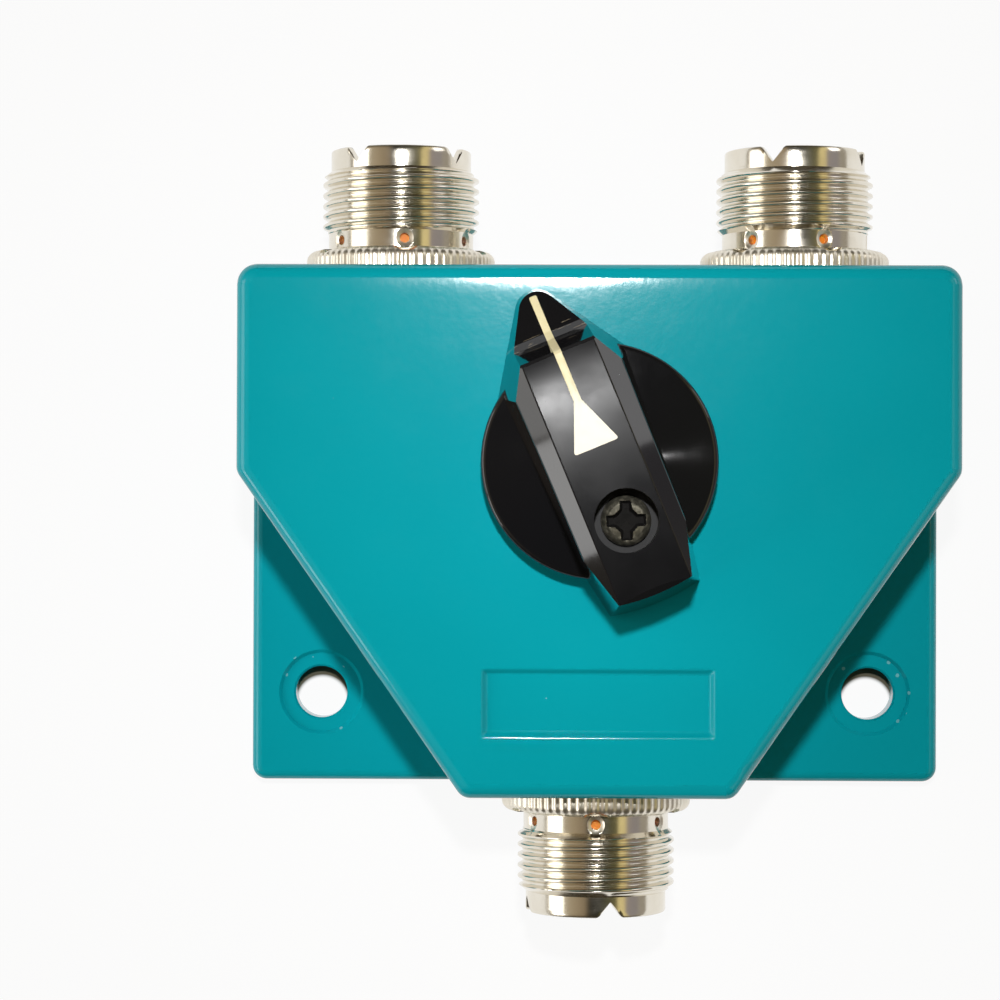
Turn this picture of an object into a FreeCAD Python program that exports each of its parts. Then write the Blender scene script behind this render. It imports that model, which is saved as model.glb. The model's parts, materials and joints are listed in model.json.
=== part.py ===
import FreeCAD, Part
import math
import os
import re

import Sketcher

# Two-way coaxial aerial switch.
#
# A die-cast box carries two threaded sockets on its top edge and one on its bottom edge.  Inside,
# a rotor turned by the pointer knob joins the bottom socket to the top left or the top right one
# and grounds the one that is not in use.
#
# Frame: the knob turns about Z, the back of the mounting ears lies in Z = 0, the front panel faces
# +Z and the two aerial sockets point to +Y.

# Driving sizes in millimetres and degrees: alias, value, meaning.
SIZES = {
    # die-cast front housing
    "case_width": (71.2, "width of the front panel"),
    "case_top": (19.4, "knob axis to the top edge"),
    "case_bottom": (33.0, "knob axis to the bottom edge"),
    "shoulder_drop": (1.0, "knob axis down to where the slanted sides begin"),
    "foot_width": (26.6, "width of the bottom edge"),
    "case_depth": (25.0, "rear cover to front panel"),
    "case_draft": (0.5, "casting draft of the sides"),
    "wall": (3.0, "thickness of walls and front panel"),
    "top_corner": (2.0, "radius of the two top corners"),
    "side_corner": (1.5, "radius of the other corners"),
    "panel_edge": (1.45, "radius round the front panel"),
    "seat_radius": (9.95, "machined seat under each socket"),
    "boss_radius": (3.2, "screw boss"),
    "boss_depth": (9.0, "screw hole in a boss"),
    "boss_gap": (1.3, "upper boss below the socket nut"),
    "boss_bite": (0.6, "upper boss merged into the side wall"),
    "low_boss_rise": (11.0, "lower boss above the bottom edge"),
    "rib_width": (3.0, "screen between the two aerial sockets"),
    "rib_gap": (1.1, "from the blade's tip to that rib"),
    "frame_width": (22.75, "sunk frame on the panel"),
    "frame_height": (6.63, "sunk frame on the panel"),
    "frame_drop": (23.6, "knob axis to the middle of the frame"),
    "frame_depth": (0.5, "depth of the sunk frame"),
    "frame_slope": (42.0, "slope of the sunk frame's walls"),
    "frame_round": (0.3, "rounded edges of the sunk frame"),
    # rear cover with its ears
    "cover_thick": (3.5, "rear cover and ears"),
    "cover_over": (0.58, "rear cover beyond the sides and the top of the panel"),
    "cover_under": (0.23, "rear cover below the bottom of the panel"),
    "ear_corner": (1.5, "corner radius of the ears"),
    "ear_edge": (1.05, "rounded front edge of the cover"),
    "ear_hole": (2.72, "radius of a mounting hole"),
    "ear_ring": (4.15, "radius of the ring sunk round it"),
    "ear_ring_depth": (0.4, "depth of that ring"),
    "ear_break": (0.2, "bevelled edge of the hole"),
    "ring_break": (0.32, "bevelled edge of the ring"),
    "ear_inset_x": (7.33, "mounting hole from the side edge"),
    "ear_inset_y": (9.28, "mounting hole from the bottom edge"),
    "lip_height": (1.4, "locating lip on the cover"),
    "lip_width": (1.5, "locating lip on the cover"),
    "screw_radius": (1.5, "cover screw shank"),
    "screw_head": (2.9, "cover screw head"),
    "screw_length": (9.5, "cover screw, from the back face"),
    # threaded socket, along its own axis from the machined seat outwards
    "socket_inset": (15.6, "socket axis from the side of the case"),
    "collar_radius": (9.55, "knurled collar"),
    "collar_length": (2.1, "knurled collar"),
    "collar_band": (1.1, "straight part of the collar"),
    "collar_step": (1.05, "flat ring between the collar's shoulder and the neck"),
    "collar_curve": (1.2, "radius of that shoulder"),
    "neck_radius": (7.35, "plain neck"),
    "neck_end": (4.1, "seat to the start of the thread"),
    "thread_radius": (7.9375, "thread, half of five eighths of an inch"),
    "thread_end": (10.2, "seat to the end of the thread"),
    "lead_radius": (7.1, "plain lead-in"),
    "rim_end": (12.3, "seat to the rim"),
    "rim_bevel": (0.24, "bevel of the rims of shell and contact tube"),
    "mouth_radius": (6.3, "inside of the mouth"),
    "mouth_floor": (1.6, "seat to the shoulder that holds the insulator"),
    "stub_radius": (6.45, "rear stub through the wall"),
    "stub_bore": (4.75, "bore of the rear stub"),
    "stub_past": (0.6, "stub beyond its nut"),
    "notch_width": (2.4, "locating notch in the rim"),
    "notch_depth": (1.6, "locating notch in the rim"),
    "vent_radius": (0.48, "cross-hole in the neck"),
    "vent_at": (3.15, "seat to the cross-holes"),
    "vent_phase": (12.0, "turn from a notch to a cross-hole"),
    "roll_one": (53.5, "how far port one's shell came to rest when screwed in"),
    "roll_two": (67.6, "the same for port two"),
    "roll_common": (168.8, "the same for the common port"),
    "nut_thick": (2.5, "socket nut"),
    "nut_flats": (15.5, "socket nut across flats"),
    "plug_face": (4.6, "seat to the front of the insulator"),
    "plug_past": (1.2, "insulator beyond the stub"),
    "pin_radius": (2.7, "contact tube"),
    "pin_bore": (2.0, "bore of the contact tube"),
    "pin_tip": (11.3, "seat to the tip of the contact tube"),
    "pin_bore_depth": (11.0, "bore of the contact tube"),
    "pin_slot": (0.6, "width of the slots in the tube"),
    "pin_slot_depth": (6.0, "length of the slots in the tube"),
    "tail_radius": (2.0, "solder tail"),
    "tail_start": (2.0, "seat inwards to the start of the tail"),
    "tail_rim": (0.4, "solder tail beyond its terminal"),
    # spring-leaf terminals
    "strip_width": (3.0, "terminal strip"),
    "leaf_thick": (0.5, "one leaf of a terminal"),
    "leaf_gap": (0.05, "play on each side of the blade"),
    "leaf_flare": (0.35, "outward flare of the leaf ends"),
    "flare_length": (1.0, "length of that flare"),
    "leaf_clear": (2.2, "aerial leaves from the middle plane"),
    "eye_radius": (2.5, "round end of the common leaves"),
    # rotor
    "half_throw": (22.5, "knob turn from the middle to either stop"),
    "journal_radius": (8.0, "hub journal in the front wall"),
    "journal_gap": (0.05, "running clearance of the journal"),
    "journal_proud": (2.0, "journal above the panel"),
    "flange_radius": (13.0, "hub flange"),
    "flange_thick": (3.1, "hub flange"),
    "washer_thick": (0.5, "thrust washer"),
    "washer_radius": (9.5, "thrust washer"),
    "key_width": (3.0, "drive key on the hub"),
    "key_length": (8.0, "drive key on the hub"),
    "key_height": (1.8, "drive key on the hub"),
    "key_shift": (1.5, "key towards the pointer"),
    "detent_reach": (11.0, "knob axis to the detent ball"),
    "ball_radius": (1.5, "detent ball"),
    "ball_rise": (1.2, "ball into the front wall"),
    "track_gap": (0.1, "play round the ball in its track"),
    "pit_depth": (0.25, "end pits below the track"),
    "spring_boss": (2.5, "boss round the spring"),
    "spring_boss_rise": (2.1, "spring boss above the blade"),
    "spring_floor": (0.7, "floor of the spring boss"),
    "spring_wire": (0.35, "side of the square spring wire"),
    "spring_radius": (1.1, "spring mean radius"),
    "spring_turns": (4, "turns of the spring"),
    "spring_crown": (0.3, "how far the ball sinks into the spring's last turn"),
    "blade_thick": (0.8, "contact blade"),
    "blade_width": (4.0, "contact blade"),
    "blade_tip": (3.2, "contact blade at its tip"),
    "blade_disc": (3.0, "round root of the blade"),
    "pillar_height": (1.7, "insulator pillar on the blade"),
    "pillar_start": (3.2, "knob axis to the pillar"),
    "rivet_radius": (0.6, "rivet shank"),
    "rivet_head": (1.05, "rivet head"),
    "rivet_head_thick": (0.5, "rivet head"),
    "rivet_length": (3.0, "rivet into the pillar"),
    "rivet_first": (4.3, "knob axis to the first rivet"),
    "rivet_edge": (1.1, "second rivet from the insulator's edge"),
    "yoke_thick": (0.8, "grounding yoke"),
    "yoke_plate": (6.6, "round middle of the yoke"),
    "yoke_gap": (0.3, "yoke leg to the terminal"),
    "arm_width": (3.0, "arm of the yoke"),
    "tie_reach": (4.8, "knob axis to a rotor screw"),
    "tie_radius": (1.0, "rotor screw shank"),
    "tie_head": (1.9, "rotor screw head"),
    "tie_head_thick": (1.2, "rotor screw head"),
    "tie_grip": (2.5, "rotor screw in the hub"),
    # knob, with the pointer towards +Y of the rotor
    "knob_gap": (0.3, "knob above the panel"),
    "skirt_radius": (11.48, "round skirt"),
    "skirt_rim": (4.5, "skirt height at its rim"),
    "skirt_crown": (5.7, "skirt height in the middle"),
    "skirt_edge": (0.5, "rounded rim of the skirt"),
    "foot_heel": (14.4, "grip at its foot: rear end"),
    "foot_heel_half": (4.7, "half width of the rear end"),
    "foot_rear": (8.7, "start of the rear taper"),
    "foot_rear_half": (5.75, "half width there"),
    "foot_front": (9.5, "start of the front taper"),
    "foot_front_half": (6.75, "half width there"),
    "foot_tip": (16.8, "shoulders of the nose's tip"),
    "foot_tip_half": (2.0, "half width there"),
    "crown_heel": (13.2, "grip at its crown: rear end"),
    "crown_heel_half": (3.6, "half width of the rear end"),
    "crown_rear": (8.1, "start of the rear taper"),
    "crown_rear_half": (5.1, "half width there"),
    "crown_front": (7.8, "start of the front taper"),
    "crown_front_half": (5.2, "half width there"),
    "crown_tip": (15.75, "shoulders of the nose's tip"),
    "crown_tip_half": (1.1, "half width there"),
    "heel_curve": (22.0, "radius of the grip's rear end"),
    "tip_curve": (1.12, "radius of the nose's tip, in its half widths"),
    "grip_height": (14.5, "crown of the grip above the panel"),
    "grip_front_reach": (10.9, "front end of the grip's top"),
    "crown_break": (0.25, "bevelled front edge of the grip's top"),
    "arch_radius": (75.0, "curve of the crown along the grip"),
    "arch_sweep": (14.0, "half angle over which that curve is cut"),
    "hollow_radius": (90.0, "shallow hollow across the crown"),
    "cut_clear": (2.0, "how far a cut reaches past the form that it trims"),
    "step_reach": (12.5, "foot of the slope behind the nose"),
    "step_height": (7.3, "foot of that slope above the panel"),
    "nose_reach": (13.3, "start of the nose's sloping top"),
    "nose_height": (6.4, "nose above the panel there"),
    "nose_fall": (1.5, "drop of the nose's top towards its tip"),
    "bevel_inner": (3.6, "half width of the grip's flat top"),
    "bevel_outer": (5.3, "half width at the foot of the bevel"),
    "bevel_drop": (1.15, "height of the bevel"),
    "knob_round": (0.25, "rounded edges of the grip"),
    "knob_screw_land": (0.5, "knob screw from the edge of the journal"),
    "knob_screw_radius": (1.3, "knob screw shank"),
    "knob_screw_play": (0.1, "play round the shank in the knob"),
    "knob_screw_head": (2.45, "knob screw head"),
    "knob_screw_head_thick": (1.9, "knob screw head"),
    "knob_screw_fall": (0.8, "from the crown of its head to its rim"),
    "knob_screw_grip": (6.0, "knob screw in the hub"),
    "sink_radius": (3.05, "counterbore in the knob"),
    "sink_floor": (10.6, "floor of the counterbore above the panel"),
    "seat_gap": (0.03, "play between seated pieces"),
}

# Sizes that follow from the driving ones.
DERIVED = {
    "case_half": "case_width / 2",
    "foot_half": "foot_width / 2",
    "slant": "atan((case_half - foot_half) / (case_bottom - shoulder_drop))",
    "panel_level": "cover_thick + case_depth",
    "ceiling": "panel_level - wall",
    "socket_level": "cover_thick + case_depth / 2",
    "socket_x": "case_half - socket_inset",
    "top_boss_x": "case_half - wall - boss_radius + boss_bite",
    "top_boss_y": "case_top - wall - nut_thick - boss_radius - boss_gap",
    "low_boss_y": "low_boss_rise - case_bottom",
    "low_boss_x": "foot_half + low_boss_rise * tan(slant) - wall / cos(slant) - boss_radius",
    "cover_half": "case_half + cover_over",
    "ear_x": "cover_half - ear_inset_x",
    "ear_y": "ear_inset_y - cover_under - case_bottom",
    "stub_end": "wall + nut_thick + stub_past",
    "plug_end": "stub_end + plug_past",
    "strip_start": "plug_end + seat_gap",
    "strip_end": "strip_start + strip_width",
    "tail_end": "strip_end + tail_rim",
    "fold_half": "blade_thick / 2 + leaf_gap + leaf_thick",
    "jaw_half": "blade_thick / 2 + leaf_gap",
    "strip_y": "case_top - strip_start - strip_width / 2",
    "blade_low": "socket_level - blade_thick / 2",
    "blade_high": "socket_level + blade_thick / 2",
    "blade_reach": "(strip_y + strip_width / 2) / cos(half_throw)",
    "hub_top": "panel_level + journal_proud",
    "flange_face": "ceiling - washer_thick",
    "flange_back": "flange_face - flange_thick",
    "ball_level": "ceiling + ball_rise - ball_radius",
    "spring_low": "blade_high + spring_boss_rise",
    "yoke_low": "flange_back - yoke_thick",
    "leg_outer": "strip_y - strip_width / 2 - yoke_gap",
    "plate_low": "blade_high + pillar_height",
    "plate_radius": "leg_outer - yoke_thick - 2 * seat_gap",
    "rivet_second": "plate_radius - rivet_edge",
    "knob_base": "panel_level + knob_gap",
    "arch_centre": "panel_level + grip_height - arch_radius",
    "arch_front": "arch_centre + sqrt(arch_radius ^ 2 - grip_front_reach ^ 2)",
    "sink_level": "panel_level + sink_floor",
    "knob_screw_reach": "journal_radius - knob_screw_radius - knob_screw_land",
    "knob_screw_length": "sink_floor - journal_proud + knob_screw_grip",
}

FRONT_AXIS = -1
SIDE_AXIS = -2
TURN_UP = FreeCAD.Rotation(FreeCAD.Vector(1, 0, 0), -90)
TURN_DOWN = FreeCAD.Rotation(FreeCAD.Vector(1, 0, 0), 90)

doc = FreeCAD.newDocument("aerial_switch")
sheet = doc.addObject("Spreadsheet::Sheet", "sizes")
nodes = {}


# ---------------------------------------------------------------- sheet and expressions

def fill_sheet():
    """Write every driving size into the sheet, with its alias and its meaning."""
    for row, (alias, (value, meaning)) in enumerate(SIZES.items(), start=1):
        sheet.set(f"A{row}", alias)
        sheet.set(f"B{row}", str(value))
        sheet.setAlias(f"B{row}", alias)
        sheet.set(f"C{row}", meaning)
    doc.recompute()


def full(text):
    """Write an expression out in the sheet's cells."""
    def word(found):
        name = found.group(0)
        if name in DERIVED:
            return "(" + full(DERIVED[name]) + ")"
        return "sizes." + name if name in SIZES else name
    return re.sub(r"[a-z][a-z_]*", word, text)


def number(text):
    """The present value of an expression."""
    return float(sheet.evalExpression(full(text)))


def bind(item, target, text):
    """Tie one property of an object to an expression."""
    item.setExpression(target, full(text))


# ---------------------------------------------------------------- bodies, sketches, features

def new_body(name, keep=True):
    """A PartDesign body; a kept one becomes a node of the product."""
    body = doc.addObject("PartDesign::Body", name)
    body.Label = name
    if keep:
        nodes[name] = body
    return body


def origin_item(body, role):
    """One of the body's own origin planes or axes."""
    return next(item for item in body.Origin.OriginFeatures if item.Role == role)


def sketch(body, role="XY_Plane", offset="0", turn=None):
    """An empty sketch on one of the body's planes.

    It is moved along that plane's normal, or turned about its own upright axis.
    """
    made = body.newObject("Sketcher::SketchObject", body.Name + "_sketch")
    made.AttachmentSupport = (origin_item(body, role), [""])
    made.MapMode = "FlatFace"
    if turn is None:
        bind(made, "AttachmentOffset.Base.z", offset)
    else:
        upright_axis = FreeCAD.Vector(0, 1, 0)
        made.AttachmentOffset = FreeCAD.Placement(
            FreeCAD.Vector(), FreeCAD.Rotation(upright_axis, number(turn)))
        bind(made, "AttachmentOffset.Rotation.Angle", turn)
    return made


def fix_point(drawn, geometry, position, x, y):
    """Hold a point of a sketch at two expressions."""
    for kind, axis, text in (("DistanceX", SIDE_AXIS, x), ("DistanceY", FRONT_AXIS, y)):
        value = number(text)
        if abs(value) < 1e-6:
            drawn.addConstraint(Sketcher.Constraint("PointOnObject", geometry, position, axis))
            continue
        index = drawn.addConstraint(
            Sketcher.Constraint(kind, -1, 1, geometry, position, value))
        bind(drawn, f"Constraints[{index}]", text)


def circle(drawn, x, y, radius):
    """Add a circle to a sketch."""
    centre = FreeCAD.Vector(number(x), number(y), 0)
    index = drawn.addGeometry(Part.Circle(centre, FreeCAD.Vector(0, 0, 1), number(radius)))
    fix_point(drawn, index, 3, x, y)
    held = drawn.addConstraint(Sketcher.Constraint("Radius", index, number(radius)))
    bind(drawn, f"Constraints[{held}]", radius)
    return drawn


def outline(drawn, corners):
    """Add a closed outline, its corners in counter-clockwise order.

    A third value at a corner is the radius of an outward arc to the next corner.
    """
    places = [FreeCAD.Vector(number(corner[0]), number(corner[1]), 0) for corner in corners]
    first = drawn.GeometryCount
    count = len(corners)
    for step, corner in enumerate(corners):
        start, end = places[step], places[(step + 1) % count]
        if len(corner) == 2:
            drawn.addGeometry(Part.LineSegment(start, end))
            continue
        chord = end - start
        radius = number(corner[2])
        rise = radius - math.sqrt(radius ** 2 - (chord.Length / 2) ** 2)
        outward = FreeCAD.Vector(chord.y, -chord.x, 0).normalize()
        crest = (start + end) * 0.5 + outward * rise
        drawn.addGeometry(Part.Arc(start, crest, end))
    for step, corner in enumerate(corners):
        following = first + (step + 1) % count
        drawn.addConstraint(Sketcher.Constraint("Coincident", first + step, 2, following, 1))
        fix_point(drawn, first + step, 1, corner[0], corner[1])
        if len(corner) == 3:
            held = drawn.addConstraint(
                Sketcher.Constraint("Radius", first + step, number(corner[2])))
            bind(drawn, f"Constraints[{held}]", corner[2])
    return drawn


def rectangle(drawn, left, right, low, high):
    """Add a rectangle between four expressions."""
    return outline(drawn, [(left, low), (right, low), (right, high), (left, high)])


def finish_feature(body, made, before=None, grows=None):
    """Make a feature the body's tip; stop when it failed or worked the wrong way round."""
    body.Tip = made
    doc.recompute()
    if made.Shape.isNull() or not made.Shape.isValid():
        raise RuntimeError(f"{made.Name} has no sound shape")
    if before is not None and (made.Shape.Volume > before) != grows:
        raise RuntimeError(f"{made.Name} works the wrong way round")
    return made


def volume_of(body):
    """Volume of the body so far."""
    return body.Tip.Shape.Volume if body.Tip else 0.0


def extrude(body, kind, profile, length=None, back=False, both=False, taper=None):
    """Pad or pocket a sketch; without a length a pocket goes right through."""
    before = volume_of(body)
    made = body.newObject("PartDesign::" + kind, body.Name + "_" + kind.lower())
    made.Profile = profile
    made.Midplane = both
    made.Reversed = back
    if length is None:
        made.Type = "ThroughAll"
    else:
        bind(made, "Length", length)
    if taper is not None:
        bind(made, "TaperAngle", taper)
    return finish_feature(body, made, before, kind == "Pad")


def revolve(body, kind, profile, angle="360", both=False, axis="V_Axis"):
    """Turn a sketch round one of its own axes, to add or to take away."""
    before = volume_of(body)
    made = body.newObject("PartDesign::" + kind, body.Name + "_" + kind.lower())
    made.Profile = profile
    made.ReferenceAxis = (profile, [axis])
    made.Midplane = both
    bind(made, "Angle", angle)
    return finish_feature(body, made, before, kind == "Revolution")


def polar(body, feature, count, angle="360"):
    """Repeat a feature round the body's Z axis."""
    made = body.newObject("PartDesign::PolarPattern", body.Name + "_polar")
    made.Originals = [feature]
    made.Axis = (origin_item(body, "Z_Axis"), [""])
    made.Occurrences = count
    bind(made, "Angle", angle)
    return finish_feature(body, made)


def dress(body, kind, size, test):
    """Fillet or chamfer the edges of the body that pass a test."""
    base = body.Tip
    picked = [f"Edge{index}" for index, edge in enumerate(base.Shape.Edges, start=1)
              if test(edge)]
    if not picked:
        raise RuntimeError(f"{body.Name} has no edge to {kind.lower()}")
    made = body.newObject("PartDesign::" + kind, body.Name + "_" + kind.lower())
    made.Base = (base, picked)
    bind(made, "Radius" if kind == "Fillet" else "Size", size)
    return finish_feature(body, made)


def place(item, x="0", y="0", z="0", rotation=None):
    """Put an object where three expressions say."""
    item.Placement = FreeCAD.Placement(
        FreeCAD.Vector(number(x), number(y), number(z)), rotation or FreeCAD.Rotation())
    for letter, text in zip("xyz", (x, y, z)):
        bind(item, f"Placement.Base.{letter}", text)
    return item


def ride_rotor(item, turn="half_throw"):
    """Turn a rotor piece about the knob axis to where it rests at the first position."""
    item.Placement = FreeCAD.Placement(
        FreeCAD.Vector(), FreeCAD.Rotation(FreeCAD.Vector(0, 0, 1), number(turn)))
    bind(item, "Placement.Rotation.Angle", turn)
    return item


def group(name, members):
    """One node of several separate solids."""
    made = doc.addObject("Part::Compound", name)
    made.Label = name
    made.Links = members
    nodes[name] = made
    doc.recompute()


# ---------------------------------------------------------------- edge tests

def at_level(edge, level):
    """True for an edge that lies flat at a height."""
    box = edge.BoundBox
    return abs(box.ZMin - level) < 1e-4 and abs(box.ZMax - level) < 1e-4


def upright(edge, height):
    """True for a straight edge that climbs at least this far and leans only by the draft."""
    box = edge.BoundBox
    flat = math.hypot(box.XLength, box.YLength)
    return box.ZLength > height and flat < 0.1 * box.ZLength


def climbs(edge):
    """True for an edge that leaves its height."""
    return edge.BoundBox.ZLength > 0.1


def within(edge, half_width, middle, half_height):
    """True for an edge inside a rectangle, or on it, in plan."""
    box = edge.BoundBox
    across = max(abs(box.XMin), abs(box.XMax))
    along = max(abs(box.YMin - number(middle)), abs(box.YMax - number(middle)))
    return across < number(half_width) + 1e-4 and along < number(half_height) + 1e-4


def circle_at(edge, radius, level):
    """True for a full circle of a radius at a height."""
    return (at_level(edge, level) and edge.Closed and hasattr(edge.Curve, "Radius")
            and abs(edge.Curve.Radius - radius) < 1e-4)


# ---------------------------------------------------------------- case

def case_outline(inset="0"):
    """The six corners of the case, moved inwards by an inset."""
    half = f"case_half - ({inset})"
    top = f"case_top - ({inset})"
    shoulder = f"({inset}) * tan(slant / 2) - shoulder_drop"
    bottom = f"({inset}) - case_bottom"
    foot = f"foot_half - ({inset}) * tan(45 deg - slant / 2)"
    return [
        (f"-({half})", shoulder), (f"-({foot})", bottom), (foot, bottom),
        (half, shoulder), (half, top), (f"-({half})", top),
    ]


def boss_places():
    """Where the four cover screws go."""
    return [("-(top_boss_x)", "top_boss_y"), ("top_boss_x", "top_boss_y"),
            ("-(low_boss_x)", "low_boss_y"), ("low_boss_x", "low_boss_y")]


def socket_holes(drawn, x_places, radius):
    """Circles on the sockets' axes, in a sketch that stands upright."""
    for x in x_places:
        circle(drawn, x, "socket_level", radius)
    return drawn


def make_front_housing():
    """Drafted box, hollowed from the back, with bosses, screen rib, bores and ball track."""
    body = new_body("front_housing")
    extrude(body, "Pad", outline(sketch(body, offset="panel_level"), case_outline()),
            "case_depth", back=True, taper="case_draft")
    reach = number("case_depth") * 0.9
    crown = number("case_top") - 1
    dress(body, "Fillet", "top_corner",
          lambda edge: upright(edge, reach) and edge.BoundBox.YMax > crown)
    dress(body, "Fillet", "side_corner",
          lambda edge: upright(edge, reach) and edge.BoundBox.YMax < crown - 1)
    panel = number("panel_level")
    dress(body, "Fillet", "panel_edge", lambda edge: at_level(edge, panel))

    hollow = outline(sketch(body, offset="cover_thick"), case_outline("wall"))
    extrude(body, "Pocket", hollow, "case_depth - wall", back=True)
    bosses = sketch(body, offset="cover_thick")
    for x, y in boss_places():
        circle(bosses, x, y, "boss_radius")
    extrude(body, "Pad", bosses, "case_depth - wall + seat_gap")
    screws = sketch(body, offset="cover_thick")
    for x, y in boss_places():
        circle(screws, x, y, "screw_radius + seat_gap")
    extrude(body, "Pocket", screws, "boss_depth", back=True)
    rib = rectangle(sketch(body, offset="cover_thick + lip_height + yoke_gap"),
                    "-(rib_width / 2)", "rib_width / 2",
                    "blade_reach + rib_gap", "case_top - wall / 2")
    extrude(body, "Pad", rib, "case_depth - wall - lip_height")

    upper = ("-(socket_x)", "socket_x")
    extrude(body, "Pocket", socket_holes(sketch(body, "XZ_Plane"), upper,
                                         "stub_radius + seat_gap"))
    extrude(body, "Pocket", socket_holes(sketch(body, "XZ_Plane"), ("0",),
                                         "stub_radius + seat_gap"), back=True)
    extrude(body, "Pocket", socket_holes(sketch(body, "XZ_Plane", "-(case_top)"), upper,
                                         "seat_radius"))
    extrude(body, "Pocket", socket_holes(sketch(body, "XZ_Plane", "case_bottom"), ("0",),
                                         "seat_radius"), back=True)

    extrude(body, "Pocket", circle(sketch(body), "0", "0", "journal_radius + journal_gap"),
            back=True)
    frame = rectangle(sketch(body, offset="panel_level"),
                      "-(frame_width / 2)", "frame_width / 2",
                      "-(frame_drop) - frame_height / 2", "frame_height / 2 - frame_drop")
    extrude(body, "Pocket", frame, "frame_depth", taper="-(frame_slope)")
    for level in (None, "panel_level - frame_depth", "panel_level"):
        dress(body, "Fillet", "frame_round",
              lambda edge, level=level:
              within(edge, "frame_width / 2", "-(frame_drop)", "frame_height / 2")
              and (level is None and climbs(edge) or level and at_level(edge, number(level))))

    track = circle(sketch(body, "YZ_Plane"), "-(detent_reach)", "ball_level",
                   "ball_radius + track_gap")
    revolve(body, "Groove", track, "2 * half_throw", both=True)
    for side in ("-", ""):
        pit = body.newObject("PartDesign::SubtractiveSphere", "ball_pit")
        bind(pit, "Radius", "ball_radius + track_gap")
        turn = f"({side}half_throw - 90)"
        place(pit, f"detent_reach * cos{turn}", f"detent_reach * sin{turn}",
              "ball_level + pit_depth")
        finish_feature(body, pit)


def make_rear_cover():
    """Plate with two ears, a locating lip and countersunk screw holes."""
    body = new_body("rear_cover")
    plate = rectangle(sketch(body), "-(cover_half)", "cover_half",
                      "-(cover_under) - case_bottom", "case_top + cover_over")
    extrude(body, "Pad", plate, "cover_thick")
    thick = number("cover_thick")
    dress(body, "Fillet", "ear_corner", lambda edge: upright(edge, thick * 0.9))
    dress(body, "Fillet", "ear_edge", lambda edge: at_level(edge, thick))

    lip = sketch(body, offset="cover_thick")
    outline(lip, case_outline("wall + 5 * seat_gap"))
    outline(lip, case_outline("wall + 5 * seat_gap + lip_width"))
    extrude(body, "Pad", lip, "lip_height")
    clear = sketch(body, offset="cover_thick")
    for x, y in boss_places():
        circle(clear, x, y, "boss_radius + yoke_gap")
    extrude(body, "Pocket", clear, "lip_height + 1", back=True)

    holes = sketch(body)
    for x, y in boss_places():
        circle(holes, x, y, "screw_radius + seat_gap")
    extrude(body, "Pocket", holes, back=True)
    hole = number("screw_radius + seat_gap")
    dress(body, "Chamfer", "screw_head - screw_radius", lambda edge: circle_at(edge, hole, 0))

    ears = sketch(body)
    rings = sketch(body, offset="cover_thick")
    for x in ("-(ear_x)", "ear_x"):
        circle(ears, x, "ear_y", "ear_hole")
        circle(rings, x, "ear_y", "ear_ring")
    extrude(body, "Pocket", ears, back=True)
    extrude(body, "Pocket", rings, "ear_ring_depth")
    rim = number("ear_ring")
    hole = number("ear_hole")
    floor = number("cover_thick - ear_ring_depth")
    dress(body, "Chamfer", "ring_break", lambda edge: circle_at(edge, rim, thick))
    dress(body, "Chamfer", "ear_break", lambda edge: circle_at(edge, hole, floor))


def make_cover_screws():
    """Four countersunk screws, heads flush with the back face."""
    members = []
    for x, y in boss_places():
        body = new_body(f"cover_screw_{len(members) + 1}", keep=False)
        profile = outline(sketch(body, "XZ_Plane"), [
            ("0", "2 * seat_gap"), ("screw_head - 2 * seat_gap", "2 * seat_gap"),
            ("screw_radius", "screw_head - screw_radius"),
            ("screw_radius", "screw_length"), ("0", "screw_length"),
        ])
        revolve(body, "Revolution", profile)
        place(body, x, y)
        members.append(body)
    group("cover_screws", members)


# ---------------------------------------------------------------- sockets

def make_socket_shell(name, stand):
    """Threaded shell: knurled collar, neck with cross-holes, thread, notched rim, rear stub."""
    body = new_body(name)
    profile = outline(sketch(body, "XZ_Plane"), [
        ("stub_bore", "-(stub_end)"), ("stub_radius", "-(stub_end)"), ("stub_radius", "0"),
        ("collar_radius", "0"), ("collar_radius", "collar_band", "collar_curve"),
        ("neck_radius + collar_step", "collar_length"),
        ("neck_radius", "collar_length"), ("neck_radius", "neck_end"),
        ("thread_radius", "neck_end + thread_radius - neck_radius"),
        ("thread_radius", "thread_end + lead_radius - thread_radius"),
        ("lead_radius", "thread_end"), ("lead_radius", "rim_end - rim_bevel"),
        ("lead_radius - rim_bevel", "rim_end"), ("mouth_radius", "rim_end"),
        ("mouth_radius", "mouth_floor"), ("stub_bore", "mouth_floor"),
    ])
    revolve(body, "Revolution", profile)
    notch = outline(sketch(body, "XZ_Plane", turn="-(vent_phase)"), [
        ("0", "rim_end - notch_depth"), ("notch_width / 2 + seat_gap", "rim_end + seat_gap"),
        ("-(notch_width / 2 + seat_gap)", "rim_end + seat_gap"),
    ])
    cut = extrude(body, "Pocket", notch, "2 * thread_radius + 1", both=True)
    polar(body, cut, 2, "90")
    vent = circle(sketch(body, "XZ_Plane"), "0", "vent_at", "vent_radius")
    cut = extrude(body, "Pocket", vent, "thread_radius")
    polar(body, cut, 6, "300")
    stand(body, rolled=True)


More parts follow.
